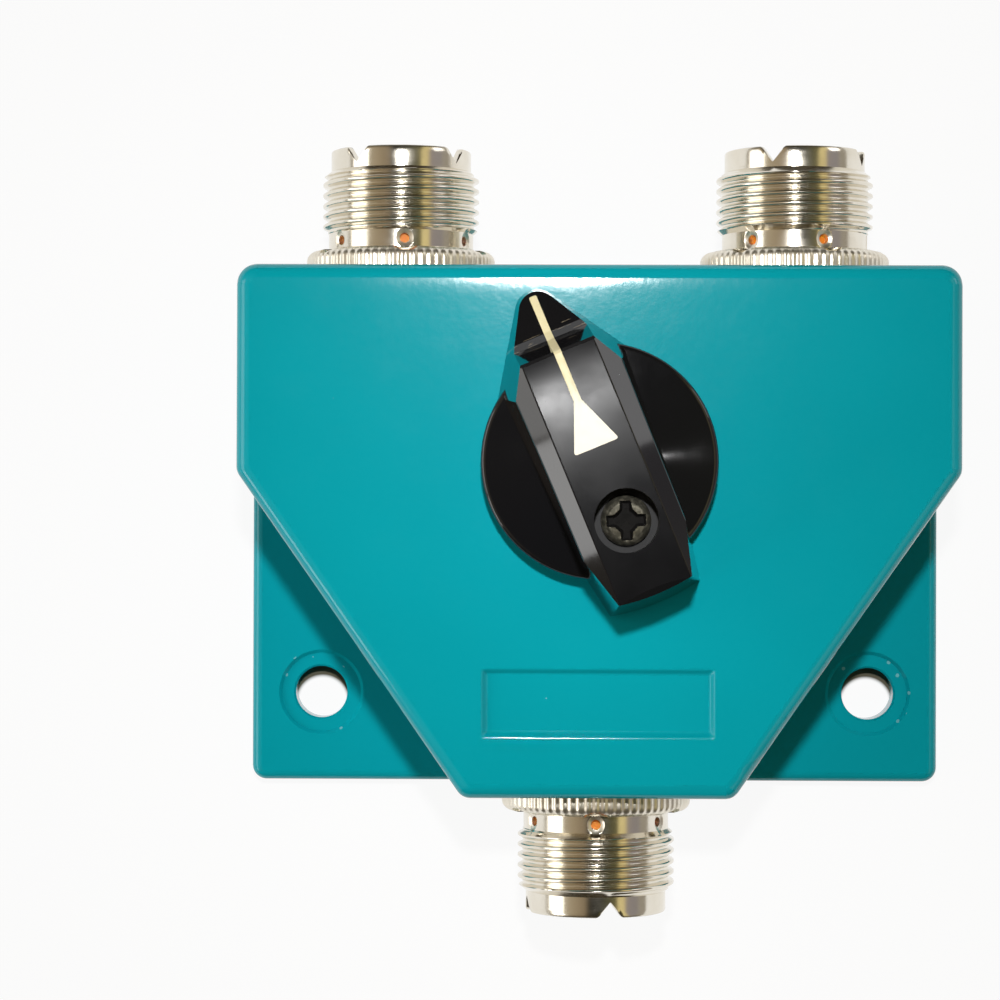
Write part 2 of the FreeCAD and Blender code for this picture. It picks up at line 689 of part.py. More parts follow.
def make_insulator(name, stand):
    """Moulded plug that holds the contact tube and shows through the cross-holes."""
    body = new_body(name)
    profile = outline(sketch(body, "XZ_Plane"), [
        ("tail_radius + seat_gap", "-(plug_end)"), ("stub_bore - seat_gap", "-(plug_end)"),
        ("stub_bore - seat_gap", "mouth_floor + seat_gap"),
        ("mouth_radius - seat_gap", "mouth_floor + seat_gap"),
        ("mouth_radius - seat_gap", "plug_face"), ("pin_radius + seat_gap", "plug_face"),
        ("pin_radius + seat_gap", "-(tail_start) - seat_gap"),
        ("tail_radius + seat_gap", "-(tail_start) - seat_gap"),
    ])
    revolve(body, "Revolution", profile)
    stand(body)


def make_contact(name, stand):
    """Slotted contact tube with a solder tail that is forked for its terminal."""
    body = new_body(name)
    profile = outline(sketch(body, "XZ_Plane"), [
        ("0", "-(tail_end)"), ("tail_radius", "-(tail_end)"), ("tail_radius", "-(tail_start)"),
        ("pin_radius", "-(tail_start)"), ("pin_radius", "pin_tip - rim_bevel"),
        ("pin_radius - rim_bevel", "pin_tip"), ("pin_bore", "pin_tip"),
        ("pin_bore", "pin_tip - pin_bore_depth"), ("0", "pin_tip - pin_bore_depth"),
    ])
    revolve(body, "Revolution", profile)
    slot = rectangle(sketch(body, "XZ_Plane"), "-(pin_slot / 2)", "pin_slot / 2",
                     "pin_tip - pin_slot_depth", "pin_tip + 1")
    cut = extrude(body, "Pocket", slot, "2 * pin_radius + 1", both=True)
    polar(body, cut, 2, "90")
    fork = rectangle(sketch(body, "YZ_Plane"), "-(fold_half)", "fold_half",
                     "-(tail_end) - 1", "-(strip_start)")
    extrude(body, "Pocket", fork, "2 * pin_radius + 1", both=True)
    stand(body)


def make_nut(name, stand):
    """Hexagon nut that clamps the shell against the wall from inside."""
    body = new_body(name)
    half = "nut_flats / 2"
    wide = "nut_flats / 2 / cos(30)"
    slim = "nut_flats / 2 * tan(30)"
    hexagon = sketch(body, offset="-(wall + nut_thick)")
    outline(hexagon, [(wide, "0"), (slim, half), (f"-({slim})", half), (f"-({wide})", "0"),
                      (f"-({slim})", f"-({half})"), (slim, f"-({half})")])
    extrude(body, "Pad", hexagon, "nut_thick")
    bore = circle(sketch(body, offset="-(wall)"), "0", "0", "stub_radius + seat_gap")
    extrude(body, "Pocket", bore)
    stand(body)


def leaf_profile(drawn, fold, tip):
    """Side view of a folded two-leaf terminal that lies along the sketch's x from fold to tip."""
    outer, inner = "fold_half", "jaw_half"
    bend = f"{tip} - flare_length"
    back = f"{fold} + leaf_thick"
    middle = "socket_level"
    return outline(drawn, [
        (fold, f"{middle} - {outer}"), (bend, f"{middle} - {outer}"),
        (tip, f"{middle} - {outer} - leaf_flare"), (tip, f"{middle} - {inner} - leaf_flare"),
        (bend, f"{middle} - {inner}"), (back, f"{middle} - {inner}"),
        (back, f"{middle} + {inner}"), (bend, f"{middle} + {inner}"),
        (tip, f"{middle} + {inner} + leaf_flare"), (tip, f"{middle} + {outer} + leaf_flare"),
        (bend, f"{middle} + {outer}"), (fold, f"{middle} + {outer}"),
    ])


def make_port_terminal(name, turn):
    """Terminal of an aerial port: two leaves that reach from the solder tail to the rotor."""
    body = new_body(name)
    drawn = leaf_profile(sketch(body, "XZ_Plane", "-(strip_y)" if turn == 0 else "strip_y"),
                         "-(socket_x) - tail_radius", "-(leaf_clear)")
    extrude(body, "Pad", drawn, "strip_width", both=True)
    body.Placement = FreeCAD.Placement(
        FreeCAD.Vector(), FreeCAD.Rotation(FreeCAD.Vector(0, 0, 1), turn))


def make_common_terminal():
    """Terminal of the common port: two leaves with round eyes that grip the blade's root."""
    body = new_body("common_terminal")
    start = "-(case_bottom) + strip_start"
    drawn = outline(sketch(body, "YZ_Plane"), [
        (start, "socket_level - fold_half"), ("0", "socket_level - fold_half"),
        ("0", "socket_level - jaw_half"), (f"{start} + leaf_thick", "socket_level - jaw_half"),
        (f"{start} + leaf_thick", "socket_level + jaw_half"), ("0", "socket_level + jaw_half"),
        ("0", "socket_level + fold_half"), (start, "socket_level + fold_half"),
    ])
    extrude(body, "Pad", drawn, "strip_width", both=True)
    for level in ("socket_level - fold_half", "socket_level + jaw_half"):
        eye = circle(sketch(body, offset=level), "0", "0", "eye_radius")
        extrude(body, "Pad", eye, "leaf_thick")


def make_sockets():
    """Three sockets: two that point up for the aerials, one that points down for the set."""
    settings = [
        ("port_one", "-(socket_x)", "case_top", TURN_UP, "roll_one"),
        ("port_two", "socket_x", "case_top", TURN_UP, "roll_two"),
        ("common", "0", "-(case_bottom)", TURN_DOWN, "roll_common"),
    ]
    for name, x, y, turn, roll in settings:
        def stand(body, rolled=False, x=x, y=y, turn=turn, roll=roll):
            angle = number(f"{roll} + vent_phase") if rolled else 0
            spin = FreeCAD.Rotation(FreeCAD.Vector(0, 0, 1), angle)
            place(body, x, y, "socket_level", turn.multiply(spin))
        make_socket_shell(name + "_shell", stand)
        make_insulator(name + "_insulator", stand)
        make_contact(name + "_contact", stand)
        make_nut(name + "_nut", stand)
    make_port_terminal("port_one_terminal", 0)
    make_port_terminal("port_two_terminal", 180)
    make_common_terminal()


# ---------------------------------------------------------------- rotor

def tie_places(turn="0"):
    """Where the two rotor screws go, seen from a frame turned by an angle."""
    return [(f"tie_reach * cos({turn})", f"tie_reach * sin({turn})"),
            (f"-(tie_reach) * cos({turn})", f"-(tie_reach) * sin({turn})")]


def make_rotor_hub():
    """Flanged journal with a drive key, a spring boss and its tapped holes."""
    body = new_body("rotor_hub")
    profile = outline(sketch(body, "XZ_Plane"), [
        ("0", "flange_back"), ("flange_radius", "flange_back"),
        ("flange_radius", "flange_face"), ("journal_radius", "flange_face"),
        ("journal_radius", "hub_top - 0.4"), ("journal_radius - 0.4", "hub_top"),
        ("0", "hub_top"),
    ])
    revolve(body, "Revolution", profile)
    key = rectangle(sketch(body, offset="hub_top"), "-(key_width / 2)", "key_width / 2",
                    "key_shift - key_length / 2", "key_shift + key_length / 2")
    extrude(body, "Pad", key, "key_height")
    boss = circle(sketch(body, offset="spring_low"), "0", "-(detent_reach)", "spring_boss")
    extrude(body, "Pad", boss, "flange_back - spring_low")
    bore = circle(sketch(body, offset="flange_face"), "0", "-(detent_reach)",
                  "ball_radius + seat_gap")
    extrude(body, "Pocket", bore, "flange_face - spring_low - spring_floor")
    tapped = circle(sketch(body, offset="hub_top"), "0", "-(knob_screw_reach)",
                    "knob_screw_radius + seat_gap")
    extrude(body, "Pocket", tapped, "knob_screw_grip + 0.5")
    ties = sketch(body, offset="flange_back")
    for x, y in tie_places():
        circle(ties, x, y, "tie_radius + seat_gap")
    extrude(body, "Pocket", ties, "tie_grip + 0.2", back=True)
    ride_rotor(body)


def make_thrust_washer():
    """Plastic ring between the flange and the front wall."""
    body = new_body("thrust_washer")
    ring = sketch(body, offset="flange_face")
    circle(ring, "0", "0", "washer_radius")
    circle(ring, "0", "0", "journal_radius + journal_gap")
    extrude(body, "Pad", ring, "washer_thick")


def make_detent():
    """Ball and coil spring that click the rotor into either stop."""
    ball = doc.addObject("Part::Sphere", "detent_ball")
    ball.Label = "detent_ball"
    bind(ball, "Radius", "ball_radius")
    turn = "(half_throw - 90)"
    place(ball, f"detent_reach * cos{turn}", f"detent_reach * sin{turn}", "ball_level")
    nodes["detent_ball"] = ball

    body = new_body("detent_spring")
    low = "spring_low + spring_floor"
    drawn = rectangle(sketch(body, "XZ_Plane"), "spring_radius - spring_wire / 2",
                      "spring_radius + spring_wire / 2", low, f"{low} + spring_wire")
    coil = body.newObject("PartDesign::AdditiveHelix", "spring_coil")
    coil.Profile = drawn
    coil.ReferenceAxis = (drawn, ["V_Axis"])
    coil.Mode = "height-turns-angle"
    bind(coil, "Height", f"ball_level - ball_radius - ({low}) + spring_crown - spring_wire")
    bind(coil, "Turns", "spring_turns")
    finish_feature(body, coil)
    place(body, f"detent_reach * cos{turn}", f"detent_reach * sin{turn}", "0")


def make_rotor_insulator():
    """Moulded disc under the hub, with a pillar that carries the blade."""
    body = new_body("rotor_insulator")
    disc = circle(sketch(body, offset="plate_low"), "0", "0", "plate_radius")
    extrude(body, "Pad", disc, "yoke_low - plate_low")
    pillar = rectangle(sketch(body, offset="blade_high"),
                       "-(blade_width / 2)", "blade_width / 2",
                       "pillar_start", "plate_radius - blade_thick / 2")
    extrude(body, "Pad", pillar, "pillar_height + seat_gap")
    rivets = sketch(body, offset="blade_high")
    for y in ("rivet_first", "rivet_second"):
        circle(rivets, "0", y, "rivet_radius + seat_gap")
    extrude(body, "Pocket", rivets, "rivet_length + seat_gap", back=True)
    shanks = sketch(body, offset="plate_low")
    heads = sketch(body, offset="plate_low")
    for x, y in tie_places():
        circle(shanks, x, y, "tie_radius + seat_gap")
        circle(heads, x, y, "tie_head + seat_gap")
    extrude(body, "Pocket", shanks, back=True)
    extrude(body, "Pocket", heads, "tie_head_thick", back=True)
    ride_rotor(body)


def make_contact_blade():
    """Flat blade: a round root on the knob axis and an arm that reaches a port's leaves."""
    body = new_body("contact_blade")
    root = circle(sketch(body, offset="blade_low"), "0", "0", "blade_disc")
    extrude(body, "Pad", root, "blade_thick")
    half, tip = "blade_width / 2", "blade_tip / 2"
    arm = outline(sketch(body, offset="blade_low"), [
        (f"-({half})", "0"), (half, "0"), (half, "plate_radius"),
        (tip, "blade_reach - blade_tip / 2", "blade_tip / 2 * 1.0001"),
        (f"-({tip})", "blade_reach - blade_tip / 2"), (f"-({half})", "plate_radius"),
    ])
    extrude(body, "Pad", arm, "blade_thick")
    rivets = sketch(body, offset="blade_low")
    for y in ("rivet_first", "rivet_second"):
        circle(rivets, "0", y, "rivet_radius + seat_gap")
    extrude(body, "Pocket", rivets, back=True)
    ride_rotor(body)


def make_blade_rivets():
    """Two rivets that hold the blade under the insulator's pillar."""
    members = []
    for y in ("rivet_first", "rivet_second"):
        body = new_body(f"blade_rivet_{len(members) + 1}", keep=False)
        profile = outline(sketch(body, "XZ_Plane"), [
            ("0", "blade_low - rivet_head_thick"),
            ("rivet_head * 0.6", "blade_low - rivet_head_thick"),
            ("rivet_head", "blade_low - rivet_head_thick * 0.4"), ("rivet_head", "blade_low"),
            ("rivet_radius", "blade_low"), ("rivet_radius", "blade_high + rivet_length"),
            ("0", "blade_high + rivet_length"),
        ])
        revolve(body, "Revolution", profile)
        place(body, f"-({y}) * sin(half_throw)", f"({y}) * cos(half_throw)")
        members.append(body)
    group("blade_rivets", members)


def make_grounding_yoke():
    """Bent plate under the hub: two arms at a right angle that ground the idle port."""
    body = new_body("grounding_yoke")
    plate = circle(sketch(body, offset="yoke_low"), "0", "0", "yoke_plate")
    extrude(body, "Pad", plate, "yoke_thick")
    inner = "leg_outer - yoke_thick"
    arm = outline(sketch(body, "YZ_Plane"), [
        (inner, "blade_low"), ("blade_reach - yoke_gap", "blade_low"),
        ("blade_reach - yoke_gap", "blade_high"), ("leg_outer", "blade_high"),
        ("leg_outer", "flange_back"), ("yoke_plate / 2", "flange_back"),
        ("yoke_plate / 2", "yoke_low"), (inner, "yoke_low"),
    ])
    made = extrude(body, "Pad", arm, "arm_width", both=True)
    polar(body, made, 2, "90")
    ties = sketch(body, offset="yoke_low")
    for x, y in tie_places("45"):
        circle(ties, x, y, "tie_radius + seat_gap")
    extrude(body, "Pocket", ties, back=True)
    ride_rotor(body, "half_throw - 45")


def make_rotor_screws():
    """Two small screws that hold insulator and yoke under the hub."""
    members = []
    for side in ("", "-"):
        body = new_body(f"rotor_screw_{len(members) + 1}", keep=False)
        profile = outline(sketch(body, "XZ_Plane"), [
            ("0", "plate_low"), ("tie_head", "plate_low"),
            ("tie_head", "plate_low + tie_head_thick"),
            ("tie_radius", "plate_low + tie_head_thick"), ("tie_radius", "flange_back + tie_grip"),
            ("0", "flange_back + tie_grip"),
        ])
        revolve(body, "Revolution", profile)
        place(body, f"{side}(tie_reach) * cos(half_throw)",
              f"{side}(tie_reach) * sin(half_throw)")
        members.append(body)
    group("rotor_screws", members)


# ---------------------------------------------------------------- knob

def grip_plan(body, at, level):
    """Plan of the grip at one height: tapered tail, widening middle and pointed nose."""
    return outline(sketch(body, offset=level), [
        (f"-({at}_heel_half)", f"-({at}_heel)", "heel_curve"), (f"{at}_heel_half", f"-({at}_heel)"),
        (f"{at}_rear_half", f"-({at}_rear)"), (f"{at}_front_half", f"{at}_front"),
        (f"{at}_tip_half", f"{at}_tip", f"{at}_tip_half * tip_curve"),
        (f"-({at}_tip_half)", f"{at}_tip"),
        (f"-({at}_front_half)", f"{at}_front"), (f"-({at}_rear_half)", f"-({at}_rear)"),
    ])


def shape_crown(body):
    """Cut the top of the grip: arched along it, a little hollow across, bevelled at both sides."""
    profile = sketch(body, "XZ_Plane")
    bind(profile, "AttachmentOffset.Base.y", "arch_centre")
    far = "bevel_outer + cut_clear"
    low = "arch_radius - bevel_drop * (1 + cut_clear / (bevel_outer - bevel_inner))"
    high = "arch_radius + cut_clear"
    outline(profile, [
        ("-(bevel_inner)", "arch_radius", "hollow_radius"), ("bevel_inner", "arch_radius"),
        (far, low), (far, high), (f"-({far})", high), (f"-({far})", low),
    ])
    revolve(body, "Groove", profile, "2 * arch_sweep", both=True, axis="H_Axis")


def round_grip(body):
    """Round the long edges of the crown and the two creases across the nose."""
    levels = [number("panel_level + step_height"), number("panel_level + nose_height")]
    length = number("step_reach / 2")
    dress(body, "Fillet", "knob_round",
          lambda edge: any(at_level(edge, level) for level in levels)
          or edge.BoundBox.ZMin > levels[0] and edge.BoundBox.YLength > length)


def make_knob():
    """Pointer knob: domed skirt, lofted grip with bevelled top, stepped nose, sunk screw seat."""
    body = new_body("knob")
    skirt = outline(sketch(body, "XZ_Plane"), [
        ("0", "knob_base"), ("skirt_radius", "knob_base"),
        ("skirt_radius", "panel_level + skirt_rim"), ("0", "panel_level + skirt_crown"),
    ])
    revolve(body, "Revolution", skirt)
    radius = number("skirt_radius")
    level = number("panel_level + skirt_rim")
    dress(body, "Fillet", "skirt_edge", lambda edge: circle_at(edge, radius, level))

    skirt_volume = volume_of(body)
    foot = grip_plan(body, "foot", "knob_base")
    crown = grip_plan(body, "crown", "panel_level + grip_height")
    grip = body.newObject("PartDesign::AdditiveLoft", "knob_grip")
    grip.Profile = foot
    grip.Sections = [crown]
    grip.Ruled = True
    finish_feature(body, grip, skirt_volume, True)

    shape_crown(body)
    over = "panel_level + grip_height + cut_clear"
    ahead = "skirt_radius * 2"
    side_view = outline(sketch(body, "YZ_Plane"), [
        ("grip_front_reach", "arch_front"), ("step_reach", "panel_level + step_height"),
        ("nose_reach", "panel_level + nose_height"),
        (ahead, "panel_level + nose_height - nose_fall * 2"),
        (ahead, over), ("grip_front_reach", over),
    ])
    extrude(body, "Pocket", side_view, "4 * skirt_radius", both=True)
    round_grip(body)
    front_edge = outline(sketch(body, "YZ_Plane"), [
        ("grip_front_reach - crown_break", "arch_front"),
        ("grip_front_reach + cut_clear", "arch_front - crown_break - cut_clear"),
        ("grip_front_reach + cut_clear", over), ("grip_front_reach - crown_break", over),
    ])
    extrude(body, "Pocket", front_edge, "4 * skirt_radius", both=True)

    sink = circle(sketch(body, offset="sink_level"), "0", "-(knob_screw_reach)", "sink_radius")
    extrude(body, "Pocket", sink, back=True)
    socket = circle(sketch(body, offset="knob_base"), "0", "0", "journal_radius + journal_gap")
    extrude(body, "Pocket", socket, "hub_top - knob_base + seat_gap", back=True)
    key = rectangle(sketch(body, offset="knob_base"),
                    "-(key_width / 2) - seat_gap", "key_width / 2 + seat_gap",
                    "key_shift - key_length / 2 - seat_gap",
                    "key_shift + key_length / 2 + seat_gap")
    extrude(body, "Pocket", key, "hub_top - knob_base + key_height + 2 * seat_gap", back=True)
    shank = circle(sketch(body, offset="knob_base"), "0", "-(knob_screw_reach)",
                   "knob_screw_radius + knob_screw_play")
    extrude(body, "Pocket", shank, back=True)
    ride_rotor(body)


def make_knob_screw():
    """Round-headed screw that clamps the knob on the hub."""
    body = new_body("knob_screw")
    head_top = "sink_level + knob_screw_head_thick"
    profile = outline(sketch(body, "XZ_Plane"), [
        ("0", "sink_level - knob_screw_length"),
        ("knob_screw_radius", "sink_level - knob_screw_length"),
        ("knob_screw_radius", "sink_level"), ("knob_screw_head", "sink_level"),
        ("knob_screw_head", f"{head_top} - knob_screw_fall"),
        ("knob_screw_head / 2", head_top), ("0", head_top),
    ])
    revolve(body, "Revolution", profile)
    place(body, "knob_screw_reach * sin(half_throw)", "-(knob_screw_reach) * cos(half_throw)")


# ---------------------------------------------------------------- checks and export

def check_all():
    """Stop when an object failed or a node's shape is missing or unsound."""
    doc.recompute()
    for item in doc.Objects:
        if {"Invalid", "Error"} & set(item.State):
            raise RuntimeError(f"{item.Name} is {item.State}")
    for name, item in nodes.items():
        if item.Shape.isNull() or not item.Shape.isValid() or not item.Shape.Solids:
            raise RuntimeError(f"{name} has no sound solid")


def export_all():
    """Write one STEP file per node and print what it holds."""
    os.makedirs("parts", exist_ok=True)
    for name, item in nodes.items():
        item.Shape.exportStep(f"parts/{name}.step")
        box = item.Shape.optimalBoundingBox()
        print(f"{name}: {len(item.Shape.Solids)} solid, {item.Shape.Volume:.1f} mm3, "
              f"{box.XLength:.1f} x {box.YLength:.1f} x {box.ZLength:.1f} mm")


fill_sheet()
make_front_housing()
make_rear_cover()
make_cover_screws()
make_sockets()
make_rotor_hub()
make_thrust_washer()
make_detent()
make_rotor_insulator()
make_contact_blade()
make_blade_rivets()
make_grounding_yoke()
make_rotor_screws()
make_knob()
make_knob_screw()
check_all()
export_all()
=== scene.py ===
# %% [markdown]
# # A two-way aerial switch
#
# A die-cast box in teal enamel carries three threaded sockets and a black pointer knob.  The solid
# model already holds every piece in its true place, so this lesson only adds what solids leave
# out: the threads and knurls, the painted pointer, the screw heads, the finishes and the light.

# %% Load the solid model
import json
import math

import bmesh
import bpy
from mathutils import Matrix, Vector
from mathutils.bvhtree import BVHTree


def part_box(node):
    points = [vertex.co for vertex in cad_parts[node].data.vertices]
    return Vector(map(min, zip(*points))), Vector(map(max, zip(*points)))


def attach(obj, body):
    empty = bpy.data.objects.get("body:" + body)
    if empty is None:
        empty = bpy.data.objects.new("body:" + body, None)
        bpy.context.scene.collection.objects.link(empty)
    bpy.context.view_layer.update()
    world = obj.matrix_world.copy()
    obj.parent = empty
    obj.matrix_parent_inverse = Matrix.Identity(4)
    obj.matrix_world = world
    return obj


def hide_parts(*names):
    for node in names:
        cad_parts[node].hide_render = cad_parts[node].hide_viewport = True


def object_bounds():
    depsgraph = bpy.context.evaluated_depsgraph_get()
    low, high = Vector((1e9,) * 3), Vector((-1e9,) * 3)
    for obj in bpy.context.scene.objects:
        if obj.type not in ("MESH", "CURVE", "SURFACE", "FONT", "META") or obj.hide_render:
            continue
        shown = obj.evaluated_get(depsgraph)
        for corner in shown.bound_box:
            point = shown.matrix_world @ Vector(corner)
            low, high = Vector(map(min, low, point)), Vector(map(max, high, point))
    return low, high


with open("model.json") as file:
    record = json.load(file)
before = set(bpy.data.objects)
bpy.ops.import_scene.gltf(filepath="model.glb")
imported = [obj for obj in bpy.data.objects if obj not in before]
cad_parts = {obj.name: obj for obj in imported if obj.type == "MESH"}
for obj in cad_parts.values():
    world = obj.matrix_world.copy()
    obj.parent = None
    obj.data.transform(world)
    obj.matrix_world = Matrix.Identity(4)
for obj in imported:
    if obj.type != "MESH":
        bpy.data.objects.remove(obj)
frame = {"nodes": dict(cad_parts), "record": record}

MM = 0.001
cad_low, cad_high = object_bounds()
print("pieces:", len(frame["nodes"]))
print("solid box in mm:", [round(side / MM, 1) for side in cad_high - cad_low])

# %% [markdown]
# ## Shader sums as plain arithmetic
#
# A finish is a graph of nodes, and most of its nodes only add and multiply.  Placing them one by
# one hides the idea, so one small class wraps an output socket and gives it the signs of Python:
# `0.2 + 0.1 * clouds` adds two Math nodes.  The other way, a text of node names, reads far worse.

# %% A socket that calculates
class Value:
    """An output socket; each sign used on it adds one Math node to its finish."""

    def __init__(self, finish, socket):
        self.finish = finish
        self.socket = socket

    def other(self, name):
        """Another output of the same node."""
        return Value(self.finish, self.socket.node.outputs[name])

    def math(self, operation, first, second):
        """One Math node on two values or numbers."""
        return self.finish.node("ShaderNodeMath", {"operation": operation}, {0: first, 1: second})

    def __add__(self, other):
        return self.math("ADD", self, other)

    def __mul__(self, other):
        return self.math("MULTIPLY", self, other)

    def __sub__(self, other):
        return self.math("SUBTRACT", self, other)

    def __rsub__(self, other):
        return self.math("SUBTRACT", other, self)

    def __pow__(self, other):
        return self.math("POWER", self, other)

    def __lt__(self, other):
        return self.math("LESS_THAN", self, other)

    def __gt__(self, other):
        return self.math("GREATER_THAN", self, other)

    __radd__ = __add__
    __rmul__ = __mul__


# %% A finish that nodes are added to
class Finish:
    """One node material."""

    def __init__(self, name):
        self.material = bpy.data.materials.new(name)
        self.material.use_nodes = True
        self.tree = self.material.node_tree
        self.tree.nodes.clear()

    def node(self, kind, settings=None, inputs=None, output=0):
        """Add a node: its type, its settings, then the values or links of its sockets."""
        made = self.tree.nodes.new(kind)
        for name, value in (settings or {}).items():
            if name == "stops":
                self.set_stops(made.color_ramp, value)
            else:
                setattr(made, name, value)
        for name, value in (inputs or {}).items():
            if isinstance(value, Value):
                self.tree.links.new(value.socket, made.inputs[name])
            else:
                made.inputs[name].default_value = value
        return Value(self, made.outputs[output])

    def set_stops(self, ramp, stops):
        """Give a colour ramp its stops, each a place and a grey or a colour."""
        while len(ramp.elements) < len(stops):
            ramp.elements.new(0.5)
        for element, (place, shade) in zip(ramp.elements, stops):
            element.position = place
            element.color = shade if isinstance(shade, tuple) else (shade, shade, shade, 1)

    def place(self, stretch=(1, 1, 1)):
        """Position on the object in metres, multiplied along each axis."""
        where = self.node("ShaderNodeTexCoord", output="Object")
        return self.node("ShaderNodeVectorMath", {"operation": "MULTIPLY"}, {0: where, 1: stretch})

    def along(self, direction):
        """Position on the object in metres along one direction."""
        return self.node("ShaderNodeVectorMath", {"operation": "DOT_PRODUCT"}, {
            0: self.place(), 1: direction}, "Value")

    def distance(self, place, spot):
        """How far a place is from a fixed spot."""
        return self.node("ShaderNodeVectorMath", {"operation": "DISTANCE"}, {
            0: place, 1: spot}, "Value")

    def from_pair(self, x, y, fold):
        """Distance, seen from above, to the nearest of a spot and its mirror images.

        The mirrors stand at x = 0 and at y = fold; a fold far off leaves one pair of spots.
        """
        moved = self.node("ShaderNodeVectorMath", {"operation": "SUBTRACT"}, {
            0: self.place((1, 1, 0)), 1: (0, fold, 0)})
        folded = self.node("ShaderNodeVectorMath", {"operation": "ABSOLUTE"}, {0: moved})
        return self.distance(folded, (x, fold - y, 0))

    def clamp(self, factor):
        """A factor kept between 0 and 1."""
        return self.node("ShaderNodeClamp", None, {0: factor})

    def clouds(self, size, detail=2.0, stretch=(1, 1, 1)):
        """Noise with patches about `size` metres across, between 0 and 1."""
        return self.node("ShaderNodeTexNoise", None, {
            "Vector": self.place(stretch), "Scale": 1 / size, "Detail": detail})

    def specks(self, spacing, radius, share):
        """1 on tiny dots, one in each cell of a share of all cells, and 0 between them."""
        dots = self.node("ShaderNodeTexVoronoi", None, {
            "Vector": self.place(), "Scale": 1 / spacing})
        draw = self.node("ShaderNodeSeparateColor", None, {0: dots.other("Color")})
        return (dots < radius / spacing) * (draw < share)

    def ramp(self, factor, *stops):
        """Colours or greys along a factor."""
        return self.node("ShaderNodeValToRGB", {"stops": stops}, {"Fac": factor})

    def blend(self, amount, first, second):
        """Mix two colours."""
        return self.node("ShaderNodeMix", {"data_type": "RGBA"}, {
            0: amount, 6: first, 7: second}, 2)

    def bump(self, height, depth):
        """A normal from a height between 0 and 1 that stands for a depth in metres."""
        return self.node("ShaderNodeBump", None, {"Height": height, "Distance": depth}, "Normal")

    def surface(self, inputs):
        """Finish with the Principled shader; returns the material."""
        shader = self.node("ShaderNodeBsdfPrincipled", None, inputs)
        self.node_output(shader)
        return self.material

    def node_output(self, shader):
        """Link a shader to the output of the material."""
        end = self.tree.nodes.new("ShaderNodeOutputMaterial")
        self.tree.links.new(shader.socket, end.inputs["Surface"])


# %% [markdown]
# ## Teal enamel
#
# The box and its cover are sprayed with a thick baked enamel.  It is glossy but not a mirror: the
# surface has a faint orange peel, the colour drifts a little with its thickness, and some dust and
# tiny bubbles are baked in.  Pale specks on the rings round the two mounting holes are painted
# highlights that stand for glints on the rings' edges.  While the enamel dried it drew back from
# the top edge of the panel, so the last millimetres there fall away very slightly and catch the
# lamp.  An image of paint could give all that, but noise in metres keeps the same grain on every
# face.

# %% Enamel
FLAT_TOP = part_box("front_housing")[1].y - 1.45 * MM
DRAINED_REACH = 4 * MM
HOLE_X = 28.85 * MM
HOLE_Y = -23.95 * MM
RING_INSIDE = 3.5 * MM
RING_OUTSIDE = 4.6 * MM
ABOVE_EARS = 6 * MM


def teal_enamel():
    finish = Finish("teal_enamel")
    drift = finish.clouds(14 * MM, 3)
    colour = finish.blend(drift, (0.0006, 0.324, 0.392, 1), (0.0010, 0.352, 0.424, 1))
    grain = finish.clouds(0.45 * MM, 2)
    colour = finish.blend(grain * 0.05, colour, (0.02, 0.50, 0.58, 1))
    dust = finish.specks(2.6 * MM, 0.085 * MM, 0.16)
    colour = finish.blend(dust * 0.55, colour, (0.55, 0.78, 0.80, 1))
    from_hole = finish.from_pair(HOLE_X, HOLE_Y, 0)
    ring = (from_hole > RING_INSIDE) * (from_hole < RING_OUTSIDE)
    low = finish.along((0, 0, 1)) < ABOVE_EARS
    # painted highlights: pale teal specks on the rings round the mounting holes stand for glints on
    # their edges
    painted_glints = finish.specks(1.0 * MM, 0.2 * MM, 0.4) * ring * low
    colour = finish.blend(painted_glints * 0.5, colour, (0.35, 0.70, 0.74, 1))
    smears = finish.ramp(finish.clouds(5 * MM, 4), (0.5, 0.0), (0.8, 1.0))
    peel = finish.clouds(1.3 * MM, 1)
    height = peel + finish.clouds(0.35 * MM, 1) * 0.5 + dust * 0.6
    to_top = finish.along((0, 1, 0)) - (FLAT_TOP - DRAINED_REACH)
    drained = finish.clamp(to_top * (1 / DRAINED_REACH)) ** 6
    return finish.surface({
        "Base Color": colour,
        "Roughness": 0.08 + smears * 0.015 + grain * 0.015,
        "Normal": finish.bump(height - drained * 8, 0.004 * MM),
        "Specular IOR Level": 0.36,
    })


# %% [markdown]
# ## Nickel plate
#
# The shells are turned from brass and plated with bright nickel, which is a little warmer than
# chrome.  Nearly all of its look is reflection, so the base colour stays pale and even; the fine
# rings that the turning tool left run round the axis, and a light stain gathers in the hollows.

# %% Nickel
def nickel_plate():
    finish = Finish("nickel_plate")
    rings = finish.clouds(0.12 * MM, 2, stretch=(0.02, 1, 0.02))
    stain = finish.ramp(finish.clouds(2.2 * MM, 3), (0.35, 0.0), (0.75, 1.0))
    colour = finish.blend(stain * 0.35, (0.80, 0.755, 0.66, 1), (0.66, 0.59, 0.46, 1))
    return finish.surface({
        "Base Color": colour,
        "Metallic": 1.0,
        "Roughness": 0.11 + stain * 0.08 + rings * 0.05,
        "Normal": finish.bump(rings, 0.004 * MM),
    })


# %% [markdown]
# The knurled collar and the dished mouths of the cross-holes are plated just the same, but the
# tool tore the brass there, so the plate on them looks silky.  They get a finish of their own,
# because a mask for them in the bright nickel would have to know the shape of the shell.

# %% Nickel where the tool left it rough
def nickel_matte():
    finish = Finish("nickel_matte")
    grit = finish.clouds(0.18 * MM, 3)
    stain = finish.ramp(finish.clouds(1.6 * MM, 3), (0.35, 0.0), (0.75, 1.0))
    return finish.surface({
        "Base Color": finish.blend(stain * 0.4, (0.84, 0.79, 0.69, 1), (0.66, 0.59, 0.45, 1)),
        "Metallic": 1.0,
        "Roughness": 0.26 + grit * 0.16,
        "Normal": finish.bump(grit, 0.010 * MM),
    })
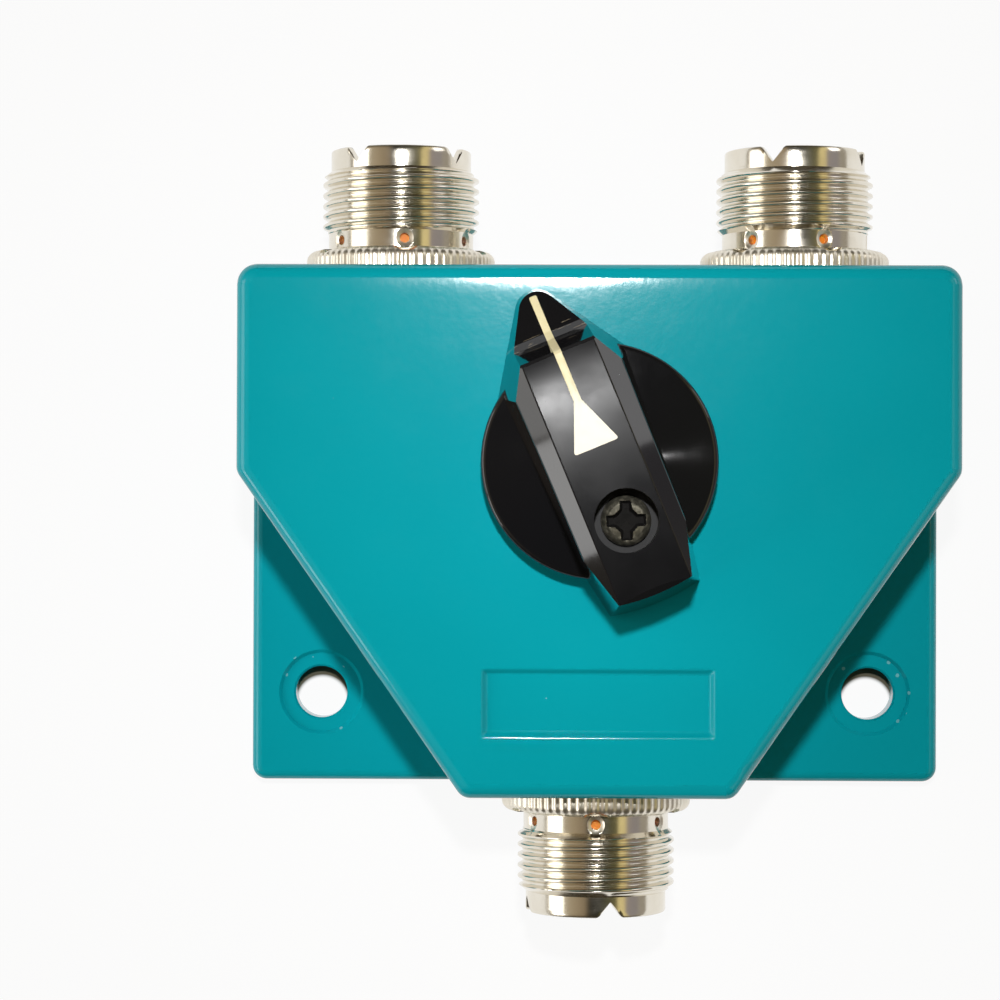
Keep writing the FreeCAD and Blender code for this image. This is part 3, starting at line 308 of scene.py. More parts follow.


# %% [markdown]
# ## Knob black
#
# The knob is moulded in a hard black plastic with a high gloss.  Fingers have hazed and dulled its
# crown, so the crown is a second shader behind a mask instead of another piece.  The edge across
# the nose carries thin pale lines, partly rubbed wear and partly a painted highlight on the crease;
# the bore of the screw has stayed dull, and the mould left the front of the crown falling away a
# little more than the flat facets of the solid show.

# %% Black plastic
HALF_THROW = math.radians(22.5)
NOSE_WAY = Vector((-math.sin(HALF_THROW), math.cos(HALF_THROW), 0))
KNOB_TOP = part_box("knob")[1].z
CROWN_DEPTH = 1.2 * MM
BORE_AXIS = (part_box("knob_screw")[0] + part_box("knob_screw")[1]) / 2
BORE_REACH = 3.3 * MM
WEAR_AND_GLINT_START = 12.5 * MM
WEAR_AND_GLINT_END = 13.7 * MM
BROW_START = 7.6 * MM


def knob_black():
    finish = Finish("knob_black")
    haze = finish.ramp(finish.clouds(3.5 * MM, 4), (0.4, 0.0), (0.8, 1.0))
    scuffs = finish.clouds(0.25 * MM, 3, stretch=(1, 0.12, 1))
    dust = finish.specks(1.5 * MM, 0.05 * MM, 0.12)
    colour = finish.blend(dust * 0.5, (0.0055, 0.0055, 0.0065, 1), (0.30, 0.30, 0.29, 1))
    nose = finish.along(NOSE_WAY)
    strokes = finish.node("ShaderNodeCombineXYZ", None, {
        0: nose * 8, 1: finish.along(NOSE_WAY.cross(Vector((0, 0, 1)))) * 0.5})
    lines = finish.node("ShaderNodeTexNoise", None, {
        "Vector": strokes, "Scale": 1 / (1.6 * MM), "Detail": 2.0})
    # thin pale lines across the nose: partly rubbed wear, partly a painted highlight on the crease
    wear_and_painted_glint = (nose > WEAR_AND_GLINT_START) * (nose < WEAR_AND_GLINT_END) * (lines > 0.6)
    colour = finish.blend(wear_and_painted_glint * 0.45, colour, (0.30, 0.25, 0.17, 1))
    height = finish.along((0, 0, 1))
    facing = finish.node("ShaderNodeSeparateXYZ", None, {
        0: finish.node("ShaderNodeTexCoord", output="Normal")})
    crown = (height > KNOB_TOP - CROWN_DEPTH) * (facing.other("Z") > 0.95)
    from_bore = finish.distance(finish.place((1, 1, 0)), (BORE_AXIS.x, BORE_AXIS.y, 0))
    bore = (from_bore < BORE_REACH) * (1 - crown)
    gloss = 0.05 + haze * 0.03 + scuffs * 0.02 + bore * 0.60
    brow = finish.clamp((nose - BROW_START) * 300) ** 2
    inputs = {
        "Base Color": colour,
        "Roughness": gloss + crown * (0.23 + haze * 0.08),
        "Normal": finish.bump(scuffs * 0.003 + nose * 190 - brow * crown * 1.5, 0.16 * MM),
        "IOR": 1.55,
    }
    moulded = finish.node("ShaderNodeBsdfPrincipled", None, inputs)
    handled = finish.node("ShaderNodeBsdfPrincipled", None, inputs | {"Specular IOR Level": 0.17})
    finish.node_output(finish.node("ShaderNodeMixShader", None, {0: crown, 1: moulded, 2: handled}))
    return finish.material


# %% [markdown]
# ## Pointer cream
#
# The pointer is a shallow groove filled with cream paint.  From 5 mm out along the narrow line
# the paint is darker and yellower than on the triangle.  Two groups of noise would do, but one
# mask along the knob says plainly where the line starts.

# %% Cream paint
def pointer_cream():
    finish = Finish("pointer_cream")
    thin = finish.clouds(0.9 * MM, 3)
    # from 5 mm out along the line the paint is made darker and yellower than on the triangle
    narrow = finish.clamp((finish.along(NOSE_WAY) - 5 * MM) * 300)
    colour = finish.blend(thin * 0.3, (0.88, 0.83, 0.68, 1), (0.82, 0.75, 0.55, 1))
    colour = finish.blend(narrow * (0.6 + thin * 0.5), colour, (0.70, 0.62, 0.34, 1))
    return finish.surface({
        "Base Color": colour,
        "Roughness": 0.42 + thin * 0.15,
        "Normal": finish.bump(finish.clouds(0.3 * MM, 2), 0.012 * MM),
    })


# %% [markdown]
# ## Screw black
#
# The screw in the knob is blackened steel, paler where the driver and the fingers touch it.  A
# ramp on noise with hard ends gives those patches a clear edge, as worn blacking has.

# %% Blackened steel
def screw_black():
    finish = Finish("screw_black")
    worn = finish.ramp(finish.clouds(0.5 * MM, 4), (0.45, 0.0), (0.7, 1.0))
    colour = finish.blend(worn, (0.20, 0.19, 0.15, 1), (0.48, 0.45, 0.35, 1))
    return finish.surface({
        "Base Color": colour,
        "Metallic": 0.85,
        "Roughness": 0.40 + worn * 0.10,
        "Normal": finish.bump(finish.clouds(0.15 * MM, 2), 0.006 * MM),
    })


# %% [markdown]
# ## The finishes inside
#
# Brass contacts, zinc-plated steel, the alloy hub, the moulded plastics and the near-black painted
# shade inside a driver recess follow one pattern: a base colour with a slow drift, a fine grain in
# the roughness and a shallow bump.  One function with a few named values keeps them alike and
# still lets each have its own grain.

# %% Metals and plastics of the inner pieces
def plain_finish(name, dark, light, roughness, metal, grain_size, grain_depth, constants=None):
    finish = Finish(name)
    drift = finish.clouds(grain_size * 8, 3)
    grain = finish.clouds(grain_size, 3)
    inputs = {
        "Base Color": finish.blend(drift, dark, light),
        "Metallic": metal,
        "Roughness": roughness + grain * 0.12,
        "Normal": finish.bump(grain, grain_depth),
    }
    inputs.update(constants or {})
    return finish.surface(inputs)


# %% [markdown]
# ## All the finishes by name
#
# A table of finishes lets the record of the solid model and the new pieces pick theirs by name.

# %% The table of finishes
finishes = {
    "teal_enamel": teal_enamel(),
    "nickel_plate": nickel_plate(),
    "nickel_matte": nickel_matte(),
    "knob_black": knob_black(),
    "pointer_cream": pointer_cream(),
    "screw_black": screw_black(),
    # near-black painted shade for the faces deep in the driver recesses
    "recess_painted_shade": plain_finish(
        "recess_painted_shade", (0.004, 0.004, 0.004, 1), (0.012, 0.011, 0.010, 1), 0.75, 0.0, 0.2 * MM,
        0.006 * MM, {"Specular IOR Level": 0.15}),
    "contact_brass": plain_finish(
        "contact_brass", (0.70, 0.50, 0.20, 1), (0.82, 0.62, 0.30, 1), 0.18, 1.0, 0.3 * MM,
        0.004 * MM),
    "screw_steel": plain_finish(
        "screw_steel", (0.52, 0.51, 0.47, 1), (0.68, 0.67, 0.64, 1), 0.24, 1.0, 0.25 * MM,
        0.006 * MM),
    "hub_alloy": plain_finish(
        "hub_alloy", (0.50, 0.50, 0.50, 1), (0.62, 0.62, 0.61, 1), 0.36, 1.0, 0.4 * MM,
        0.010 * MM),
    "amber_plastic": plain_finish(
        "amber_plastic", (0.84, 0.22, 0.006, 1), (0.94, 0.32, 0.014, 1), 0.48, 0.0, 0.5 * MM,
        0.008 * MM, {"Subsurface Weight": 0.25, "Subsurface Scale": 0.6 * MM}),
    "white_plastic": plain_finish(
        "white_plastic", (0.74, 0.73, 0.69, 1), (0.82, 0.81, 0.78, 1), 0.40, 0.0, 0.5 * MM,
        0.008 * MM, {"Subsurface Weight": 0.15, "Subsurface Scale": 0.5 * MM}),
}
print("finishes:", len(finishes))

# %% [markdown]
# ## Every solid piece gets its finish
#
# The record of the solid model already says which finish each piece has, in its material slots.
# Reading it there is safer than typing the names again.

# %% Hand out the finishes
for part in frame["record"]["subparts"]:
    shape = frame["nodes"][part["node"]].data
    shape.materials.clear()
    shape.materials.append(finishes[part["material_slot"]])

# %% [markdown]
# ## Turned pieces from a profile
#
# A turned piece could be a Screw or Spin of a curve, but then its thread, knurl and notches would
# be three more cuts.  Here one function walks round a closed profile and asks a second function
# where each point really lies, so that a thread is a radius that falls with the angle.

# %% Points round an axis
def evenly(first, last, count):
    """Values from first to last, both included."""
    return [first + (last - first) * step / count for step in range(count + 1)]


def turned(name, profile, segments, settle):
    """A closed mesh round local Z; `settle` moves the point at (radius, height, angle)."""
    mesh = bpy.data.meshes.new(name)
    points = []
    for step in range(segments):
        angle = 2 * math.pi * step / segments
        for radius, height in profile:
            r, h = settle(radius, height, angle)
            points.append((r * math.cos(angle), r * math.sin(angle), h))
    count = len(profile)
    faces = []
    for step in range(segments):
        here, there = step * count, (step + 1) % segments * count
        for row in range(count):
            after = (row + 1) % count
            faces.append((here + row, there + row, there + after, here + after))
    mesh.from_pydata(points, [], faces)
    return mesh


def soften(mesh, degrees):
    """Shade smooth, but keep the edges that are sharper than an angle."""
    mesh.shade_smooth()
    mesh.set_sharp_from_angle(angle=math.radians(degrees))


def add_piece(name, mesh, finish, body, nodes):
    """Link a mesh as a piece of a body that stands for some solid pieces."""
    if not mesh.materials:
        mesh.materials.append(None)
    mesh.materials[0] = finishes[finish]
    piece = bpy.data.objects.new(name, mesh)
    bpy.context.scene.collection.objects.link(piece)
    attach(piece, body)
    if nodes:
        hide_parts(*nodes)
    return piece


# %% [markdown]
# ## The threaded shells
#
# Each socket is one turned shell: a stub through the wall, a knurled collar, a plain neck with six
# small cross-holes, a fine thread, a plain lead-in and four V-notches in its rim.  The thread is a
# real helix with crests and roots, because its light and shade is what the eye reads first.

# %% Sizes of a shell, from its seat outwards
STUB_END = 6.1 * MM
STUB_RADIUS = 6.45 * MM
STUB_BORE = 4.75 * MM
SEAT_RADIUS = 8.3 * MM
COLLAR_RADIUS = 9.55 * MM
COLLAR_TOP_RADIUS = 8.4 * MM
COLLAR_STRAIGHT = 1.1 * MM
COLLAR_LENGTH = 2.1 * MM
NECK_RADIUS = 7.35 * MM
NECK_END = 3.85 * MM
THREAD_RADIUS = 7.9375 * MM
THREAD_PITCH = 25.4 / 24 * MM
THREAD_DEPTH = 0.52 * MM
THREAD_END = 10.2 * MM
RUN_IN_SLOPE = 1.1
RUN_OUT_SLOPE = 1.3
LEAD_RADIUS = 7.1 * MM
RIM_END = 12.3 * MM
RIM_ROUND = 0.25 * MM
MOUTH_RADIUS = 6.3 * MM
MOUTH_BREAK = 0.1 * MM
MOUTH_FLOOR = 1.6 * MM
NOTCH_HALF = 1.2 * MM
NOTCH_DEPTH = 1.6 * MM
NOTCH_ROUND = 0.2
NOTCH_ROOM = 0.3 * MM
NOTCH_PHASE = math.radians(12)
RIDGES = 72
RIDGE_DEPTH = 0.13 * MM
VENT_RADIUS = 0.5 * MM
VENT_SINK = 0.95 * MM
VENT_BALL = 1.6 * MM
VENT_AT = 2.98 * MM
VENTS = 6
SEGMENTS = RIDGES * 6
print("points round a shell:", SEGMENTS)


# %% The profile of a shell
def collar_radius(height):
    """The collar is straight, then rolls over in a quarter of an ellipse."""
    if height <= COLLAR_STRAIGHT:
        return COLLAR_RADIUS
    share = (height - COLLAR_STRAIGHT) / (COLLAR_LENGTH - COLLAR_STRAIGHT)
    return COLLAR_TOP_RADIUS + (COLLAR_RADIUS - COLLAR_TOP_RADIUS) * math.sqrt(1 - share ** 2)


def shell_profile():
    """Points (radius, height) round the wall of the shell, anticlockwise."""
    rows = [(STUB_BORE, -STUB_END), (STUB_RADIUS, -STUB_END), (STUB_RADIUS, 0), (SEAT_RADIUS, 0)]
    bands = [share ** 0.5 for share in evenly(0, 1, 7)]
    rows += [(COLLAR_RADIUS, 0.0)]
    rows += [(collar_radius(COLLAR_LENGTH * band), COLLAR_LENGTH * band) for band in bands[1:]]
    rows += [(NECK_RADIUS, COLLAR_LENGTH)]
    rows += [(NECK_RADIUS, height) for height in evenly(COLLAR_LENGTH, NECK_END, 6)[1:]]
    rows += [(THREAD_RADIUS, height) for height in evenly(NECK_END, THREAD_END, 84)[1:]]
    rows += [(LEAD_RADIUS, height) for height in evenly(THREAD_END, RIM_END - RIM_ROUND, 4)]
    rows += [(LEAD_RADIUS - RIM_ROUND * 0.3, RIM_END - RIM_ROUND * 0.3),
             (LEAD_RADIUS - RIM_ROUND, RIM_END), (MOUTH_RADIUS + MOUTH_BREAK, RIM_END),
             (MOUTH_RADIUS, RIM_END - MOUTH_BREAK)]
    rows += [(MOUTH_RADIUS, height) for height in evenly(THREAD_END, MOUTH_FLOOR, 3)]
    rows += [(STUB_BORE, MOUTH_FLOOR)]
    return rows


# %% Where the thread, the knurl and the notches move a point
def thread_drop(height, angle, start):
    """How far the surface lies under the crest; plating has rounded the crests and the roots."""
    turns = height / THREAD_PITCH - angle / (2 * math.pi) - start
    wave = 0.5 - 0.5 * math.cos(2 * math.pi * turns)
    return THREAD_DEPTH * wave ** 2 * (3 - 2 * wave)


def ridge_drop(radius, angle):
    """Straight knurl: even on the collar's side, gone at its top."""
    side = (radius - COLLAR_TOP_RADIUS) / (COLLAR_RADIUS - COLLAR_TOP_RADIUS)
    return RIDGE_DEPTH * (0.5 - 0.5 * math.cos(angle * RIDGES)) * min(1, 2 * side)


def notch_height(radius, height, angle):
    """Heights near the rim are pressed down so that the rim follows four V-notches."""
    base = RIM_END - NOTCH_DEPTH - NOTCH_ROOM
    if height <= base:
        return height
    quarter = math.pi / 2
    away = (angle + NOTCH_PHASE + quarter / 2) % quarter - quarter / 2
    share = abs(radius * math.sin(away)) / NOTCH_HALF
    depth = NOTCH_DEPTH * max(0, 1 - share)
    if abs(share - 1) < NOTCH_ROUND:
        depth = NOTCH_DEPTH * (1 + NOTCH_ROUND - share) ** 2 / (4 * NOTCH_ROUND)
    return base + (height - base) * (RIM_END - depth - base) / (RIM_END - base)


def settle_shell(radius, height, angle, start):
    """The true place of a point of the shell whose thread begins at `start`, in turns."""
    if radius >= COLLAR_TOP_RADIUS:
        return radius - ridge_drop(radius, angle), height
    if radius == THREAD_RADIUS:
        run_in = NECK_RADIUS + (height - NECK_END) * RUN_IN_SLOPE
        run_out = LEAD_RADIUS + (THREAD_END - height) * RUN_OUT_SLOPE
        return min(run_in, run_out, radius - thread_drop(height, angle, start)), height
    return radius, notch_height(radius, height, angle)


# %% [markdown]
# The cross-holes go through the wall of the neck and show the amber insulator behind it.  They are
# real holes with a shallow dish for a mouth, cut with an exact Boolean, because a painted dot would
# not catch the light round its edge.

# %% Cross-holes
def vent_cutter():
    """Six short pins, each with a ball that dishes the mouth of its hole."""
    tool = bmesh.new()
    length = THREAD_RADIUS - MOUTH_RADIUS + 0.6 * MM
    middle = MOUTH_RADIUS - 0.3 * MM + length / 2
    dish = NECK_RADIUS + math.sqrt(VENT_BALL ** 2 - VENT_SINK ** 2)
    for step in range(VENTS):
        spin = Matrix.Rotation(math.pi / 2 + 2 * math.pi * step / VENTS, 4, "Z")
        lay = Matrix.Rotation(math.pi / 2, 4, "Y")
        pin = spin @ Matrix.Translation((middle, 0, VENT_AT)) @ lay
        bmesh.ops.create_cone(tool, cap_ends=True, segments=32, radius1=VENT_RADIUS,
                              radius2=VENT_RADIUS, depth=length, matrix=pin)
        mouth = spin @ Matrix.Translation((dish, 0, VENT_AT))
        bmesh.ops.create_uvsphere(tool, u_segments=48, v_segments=32, radius=VENT_BALL,
                                  matrix=mouth)
    mesh = bpy.data.meshes.new("vent_cutter")
    tool.to_mesh(mesh)
    tool.free()
    return mesh


def cut(mesh, tool):
    """A mesh with a tool taken away from it."""
    piece = bpy.data.objects.new("work", mesh)
    cutter = bpy.data.objects.new("cutter", tool)
    for item in (piece, cutter):
        bpy.context.scene.collection.objects.link(item)
    change = piece.modifiers.new("holes", "BOOLEAN")
    change.object = cutter
    change.operation = "DIFFERENCE"
    change.solver = "EXACT"
    change.use_self = True
    graph = bpy.context.evaluated_depsgraph_get()
    result = bpy.data.meshes.new_from_object(piece.evaluated_get(graph))
    for item in (piece, cutter):
        bpy.data.objects.remove(item)
    return result


def is_rough(place):
    """Whether a point lies on the knurled collar or in the dished mouth of a cross-hole."""
    radius = math.hypot(place.x, place.y)
    if radius > COLLAR_TOP_RADIUS:
        return place.z > 0
    spacing = 2 * math.pi / VENTS
    away = (math.atan2(place.y, place.x) - math.pi / 2 + spacing / 2) % spacing - spacing / 2
    reach = math.hypot(radius * math.sin(away), place.z - VENT_AT)
    return MOUTH_RADIUS < radius < NECK_RADIUS - 0.003 * MM and reach < VENT_SINK


def shell_mesh(start):
    """A shell with its thread, knurl, notches and cross-holes."""
    def settle(radius, height, angle):
        return settle_shell(radius, height, angle, start)
    mesh = cut(turned("shell", shell_profile(), SEGMENTS, settle), vent_cutter())
    mesh.materials.clear()
    mesh.materials.append(None)
    mesh.materials.append(finishes["nickel_matte"])
    for face in mesh.polygons:
        face.material_index = int(is_rough(face.center))
    soften(mesh, 38)
    return mesh


# %% [markdown]
# All three shells are the same turned part.  Each was screwed home until it was tight, so each
# came to rest at its own angle.  Its holes were drilled in another fixture than its thread was cut
# in, so the start of the thread, given in turns, is its own as well.  The table holds the way that
# a shell points, the angle at which it stopped and the start of its thread.

# %% Three shells in their seats
SHELLS = {
    "port_one": (-1, math.radians(65.5), 0.0),
    "port_two": (-1, math.radians(79.6), -0.38),
    "common": (1, math.radians(180.8), 0.28),
}
for port, (side, turn, start) in SHELLS.items():
    low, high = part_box(port + "_shell")
    centre = (low + high) / 2
    seat = high.y - RIM_END if side < 0 else low.y + RIM_END
    stand = Matrix.Translation((centre.x, seat, centre.z))
    tilt = Matrix.Rotation(side * math.pi / 2, 4, "X")
    mesh = shell_mesh(start)
    mesh.transform(stand @ tilt @ Matrix.Rotation(turn, 4, "Z"))
    piece = add_piece(port + "_shell_turned", mesh, "nickel_plate", "case", [port + "_shell"])
    print(port, "seat at", round(seat / MM, 2), "mm, faces:", len(mesh.polygons))

# %% [markdown]
# ## Cross-headed screws
#
# A driver recess is a cross with sloping walls and a wide middle.  Cutting it with wedges works,
# but a head seen from above is a height field, so it is simpler to lower each point of a round
# grid by the depth that the recess has there.  Faces deep in the recess get a near-black painted
# shade.

# %% Screw heads
HEAD_SEGMENTS = 160
HEAD_RINGS = 56
RECESS_SHADE = 0.12 * MM


def recess_depth(x, y, arm, width, depth):
    """Depth of a cross recess: arms that narrow outwards, a wide middle and steep walls."""
    def inside(along, across):
        return min(arm - along, width * (0.62 - 0.12 * along / arm) - across)
    along, across = max(abs(x), abs(y)), min(abs(x), abs(y))
    middle = width * 1.12 - (along + across) * 0.72
    return min(depth * (1 - 0.35 * along / arm), max(0, max(inside(along, across), middle)) * 3.2)


def head_height(head, radius):
    """Height of the head's top at a radius, between the points of its outline."""
    for (inner, above), (outer, below) in zip(head, head[1:]):
        if inner <= radius <= outer and outer > inner:
            return above + (below - above) * (radius - inner) / (outer - inner)
    return head[-1][1]


def screw_mesh(name, head, arm, width, depth, shank, length):
    """A screw round local Z; `head` lists (radius, height) from the middle of the top outwards."""
    mesh = bpy.data.meshes.new(name)
    count = HEAD_SEGMENTS
    spokes = [(math.cos(turn), math.sin(turn)) for turn in evenly(0, 2 * math.pi, count)[:-1]]
    reach = max(radius for radius, height in head)
    rings = evenly(0, reach, HEAD_RINGS)[1:]
    points = [(0, 0, head_height(head, 0) - depth)]
    for radius in rings:
        for x, y in spokes:
            x, y = radius * x, radius * y
            points.append((x, y, head_height(head, radius) - recess_depth(x, y, arm, width, depth)))
    under = head[-1][1]
    tip = under - length
    for radius, height in ((shank, under), (shank, tip), (shank * 0.6, tip - shank)):
        points += [(radius * x, radius * y, height) for x, y in spokes]
    faces = [(0, 1 + step, 1 + (step + 1) % count) for step in range(count)]
    for ring in range(len(rings) + 2):
        here, there = 1 + ring * count, 1 + (ring + 1) * count
        for step in range(count):
            after = (step + 1) % count
            faces.append((here + step, there + step, there + after, here + after))
    faces.append(tuple(range(len(points) - 1, len(points) - 1 - count, -1)))
    mesh.from_pydata(points, [], faces)
    mesh.materials.append(None)
    # faces deep in the recess take the near-black painted shade
    mesh.materials.append(finishes["recess_painted_shade"])
    for face in mesh.polygons:
        x, y = face.center.x, face.center.y
        if face.center.z > under and recess_depth(x, y, arm, width, depth) > RECESS_SHADE:
            face.material_index = 1
    return mesh


# %% Knob screw
screw_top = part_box("knob_screw")[1].z
KNOB_SCREW_TURN = math.radians(2.5)
KNOB_HEAD = [(0, 0.0), (0.6 * MM, -0.03 * MM), (1.2 * MM, -0.14 * MM), (1.75 * MM, -0.36 * MM),
             (2.1 * MM, -0.66 * MM), (2.3 * MM, -0.98 * MM), (2.38 * MM, -1.3 * MM),
             (2.4 * MM, -1.88 * MM)]
knob_screw = screw_mesh("knob_screw", KNOB_HEAD, 1.9 * MM, 1.1 * MM, 1.15 * MM, 1.3 * MM, 12 * MM)
stand = Matrix.Translation((BORE_AXIS.x, BORE_AXIS.y, screw_top))
knob_screw.transform(stand @ Matrix.Rotation(KNOB_SCREW_TURN, 4, "Z"))
soften(knob_screw, 34)
piece = add_piece("knob_screw_head", knob_screw, "screw_black", "rotor", ["knob_screw"])
print("knob screw faces:", len(knob_screw.polygons))

# %% [markdown]
# The four screws in the back are flat-headed and sit flush.  They are one piece of the solid
# model, so their meshes are joined.  Each stopped at its own angle, given in degrees for the
# corner in which it sits: right or not, upper or not.

# %% Cover screws, flush in the back
COVER_HEAD = [(0, 0.0), (2.6 * MM, 0.0), (2.75 * MM, -0.08 * MM), (2.8 * MM, -0.2 * MM),
              (2.8001 * MM, -0.2 * MM)]
COVER_SINK = 0.06 * MM
COVER_TURNS = {(False, False): 12, (False, True): 57, (True, False): 81, (True, True): 34}
joined = bmesh.new()
corners = {}
for vertex in frame["nodes"]["cover_screws"].data.vertices:
    corners.setdefault((vertex.co.x > 0, vertex.co.y > 0), []).append(vertex.co)
for corner, places in corners.items():
    across = [place.x for place in places]
    up = [place.y for place in places]
    stand = Matrix.Translation(
        ((min(across) + max(across)) / 2, (min(up) + max(up)) / 2, COVER_SINK))
    mesh = screw_mesh("cover_screw", COVER_HEAD, 1.8 * MM, 0.8 * MM, 1.0 * MM, 1.45 * MM, 8.0 * MM)
    spin = Matrix.Rotation(math.radians(COVER_TURNS[corner]), 4, "Z")
    mesh.transform(stand @ Matrix.Rotation(math.pi, 4, "X") @ spin)
    joined.from_mesh(mesh)
    bpy.data.meshes.remove(mesh)
mesh = bpy.data.meshes.new("cover_screw_heads")
joined.to_mesh(mesh)
joined.free()
mesh.materials.append(None)
# near-black painted shade in the recesses of the cover screws
mesh.materials.append(finishes["recess_painted_shade"])
soften(mesh, 34)
piece = add_piece("cover_screw_heads", mesh, "screw_steel", "case", ["cover_screws"])
print("cover screws:", len(corners))

# %% [markdown]
# ## The painted pointer
#
# The pointer is a line from the nose of the knob to a long triangle on its crown.  It follows
# every step of the knob, so its outline is drawn flat and each point is dropped on the knob along
# its axis.  A thin rounded edge then makes it stand like paint that fills a groove.

# %% Pointer sizes, along and across the knob
POINTER_TIP = 17.1 * MM
POINTER_HALF = 0.37 * MM
POINTER_ROUND = 0.15 * MM
TRIANGLE_APEX = 5.9 * MM
TRIANGLE_BASE = 1.2 * MM
TRIANGLE_HALF = 2.25 * MM
TRIANGLE_ROUND = 0.3 * MM
PAINT_PROUD = 0.035 * MM
TIP_CLEAR = 0.004 * MM
LEAST_HALF = 0.02 * MM
POINTER_ROWS = 260


def pointer_half(along):
    """Half the pointer's width at a distance from the knob's axis."""
    if along > TRIANGLE_APEX:
        corner = max(0, 1 - (POINTER_TIP - along) / POINTER_ROUND)
        return POINTER_HALF - POINTER_ROUND * (1 - math.sqrt(max(0, 1 - corner ** 2)))
    share = (TRIANGLE_APEX - along) / (TRIANGLE_APEX - TRIANGLE_BASE)
    half = POINTER_HALF + (TRIANGLE_HALF - POINTER_HALF) * share
    corner = (along - TRIANGLE_BASE) / TRIANGLE_ROUND
    if corner < 1:
        half -= TRIANGLE_ROUND * (1 - math.sqrt(max(0, 1 - (1 - corner) ** 2)))
    return half


# %% Drop the pointer on the knob
knob = frame["nodes"]["knob"]
knob_tree = BVHTree.FromPolygons([vertex.co for vertex in knob.data.vertices],
                                 [tuple(face.vertices) for face in knob.data.polygons])


def drop(along, across):
    """The point of the knob's surface under a place in its plan."""
    x = -along * math.sin(HALF_THROW) + across * math.cos(HALF_THROW)
    y = along * math.cos(HALF_THROW) + across * math.sin(HALF_THROW)
    return knob_tree.ray_cast(Vector((x, y, KNOB_TOP + MM)), Vector((0, 0, -1)))[0]


def pointer_mesh():
    """Rows of points across the pointer: sunk edge, proud face, sunk edge."""
    mesh = bpy.data.meshes.new("pointer")
    lanes = [(-1.0, -1.5), (-1.0, 0.35), (-0.86, 1.0), (-0.4, 1.0), (0.0, 1.0), (0.4, 1.0),
             (0.86, 1.0), (1.0, 0.35), (1.0, -1.5)]
    count = POINTER_ROWS
    points = []
    for along in evenly(POINTER_TIP, TRIANGLE_BASE, count):
        along = min(along, POINTER_TIP - TIP_CLEAR)
        half = max(pointer_half(along), LEAST_HALF)
        for across, rise in lanes:
            spot = drop(along, across * half)
            points.append(spot + Vector((0, 0, PAINT_PROUD * rise)))
    width = len(lanes)
    faces = []
    for step in range(count):
        for lane in range(width - 1):
            here = step * width + lane
            faces.append((here, here + width, here + width + 1, here + 1))
        here = step * width
        faces.append((here + width - 1, here + 2 * width - 1, here + width, here))
    faces.append(tuple(range(width)))
    faces.append(tuple(count * width + lane for lane in reversed(range(width))))
    mesh.from_pydata(points, [], faces)
    return mesh


mesh = pointer_mesh()
soften(mesh, 50)
piece = add_piece("knob_pointer", mesh, "pointer_cream", "rotor", [])
print("pointer from", round(POINTER_TIP / MM, 1), "to", round(TRIANGLE_BASE / MM, 1), "mm")

# %% [markdown]
# ## A white table
#
# The switch lies on its back on a white sheet.  The sheet's colour does most of the work; a part
# of it also glows for the eye and for reflections, so that it stays white and still takes a shadow.
# At the bottom of the two mounting holes that glow would drown the shade, so there it is off and
# a dark grey-brown painted shadow lies on the sheet, except on the small disc that the lamp
# reaches.

# %% The sheet
SHADE_REACH = 4 * MM
LIT_X = 28.95 * MM
LIT_Y = -25.15 * MM
LIT_RADIUS = 2.5 * MM
FAR_FOLD = 1.0
FLOOR_RADIUS = 3.0
FLOOR_GAP = 0.02 * MM


def paper_white():
    finish = Finish("paper_white")
    path = finish.node("ShaderNodeLightPath", output="Is Camera Ray")
    seen = path + path.other("Is Glossy Ray") + path.other("Is Transmission Ray")
    fibres = finish.clouds(1.2 * MM, 3)
    glow = finish.node("ShaderNodeEmission", None, {"Color": (1, 1, 1, 1), "Strength": 1.0})
    share = finish.node("ShaderNodeMath", {"operation": "MINIMUM"}, {0: seen * 0.92, 1: 0.92})
    unlit = finish.clamp((finish.from_pair(LIT_X, LIT_Y, FAR_FOLD) - LIT_RADIUS) * 2500)
    # painted shadow: in the mounting holes, outside the disc the lamp reaches, the paper is dark
    # grey-brown and does not glow
    shade = (finish.from_pair(HOLE_X, HOLE_Y, FAR_FOLD) < SHADE_REACH) * unlit
    share = share * (1 - shade)
    paper = finish.node("ShaderNodeBsdfPrincipled", None, {
        "Base Color": finish.blend(shade, (0.86, 0.86, 0.86, 1), (0.13, 0.11, 0.07, 1)),
        "Roughness": 0.75 + fibres * 0.1})
    finish.node_output(finish.node("ShaderNodeMixShader", None, {0: share, 1: paper, 2: glow}))
    return finish.material


def make_floor():
    """A large round sheet just under the object."""
    sheet = bmesh.new()
    bmesh.ops.create_circle(sheet, cap_ends=True, segments=96, radius=FLOOR_RADIUS)
    mesh = bpy.data.meshes.new("floor")
    sheet.to_mesh(mesh)
    sheet.free()
    mesh.materials.append(paper_white())
    floor = bpy.data.objects.new("floor", mesh)
    floor.location.z = cad_low.z - FLOOR_GAP
    bpy.context.scene.collection.objects.link(floor)
    print("floor at", round(floor.location.z / MM, 2), "mm")


make_floor()

# %% [markdown]
# ## Light
#
# One small bright lamp just above the lens draws the short crisp shadows and the glint on every
# rounded edge; its beam is narrow, so the panel is brighter in the middle than the ears are.  A
# large soft box and two small panels at the sides light the flanks and give the metal something to
# reflect, and a tiny lamp far off to the right puts a second glint on the knob's skirt.

# %% Lamps
def area_lamp(name, place, target, width, height, power, spread=180):
    """A rectangular lamp that looks at a point; a small spread makes its beam fade outwards."""
    data = bpy.data.lights.new(name, "AREA")
    data.shape = "RECTANGLE"
    data.size, data.size_y = width, height
    data.energy = power
    data.spread = math.radians(spread)
    lamp = bpy.data.objects.new(name, data)
    lamp.location = place
    lamp.rotation_euler = (Vector(target) - Vector(place)).to_track_quat("-Z", "Y").to_euler()
    lamp.visible_camera = False
    bpy.context.scene.collection.objects.link(lamp)


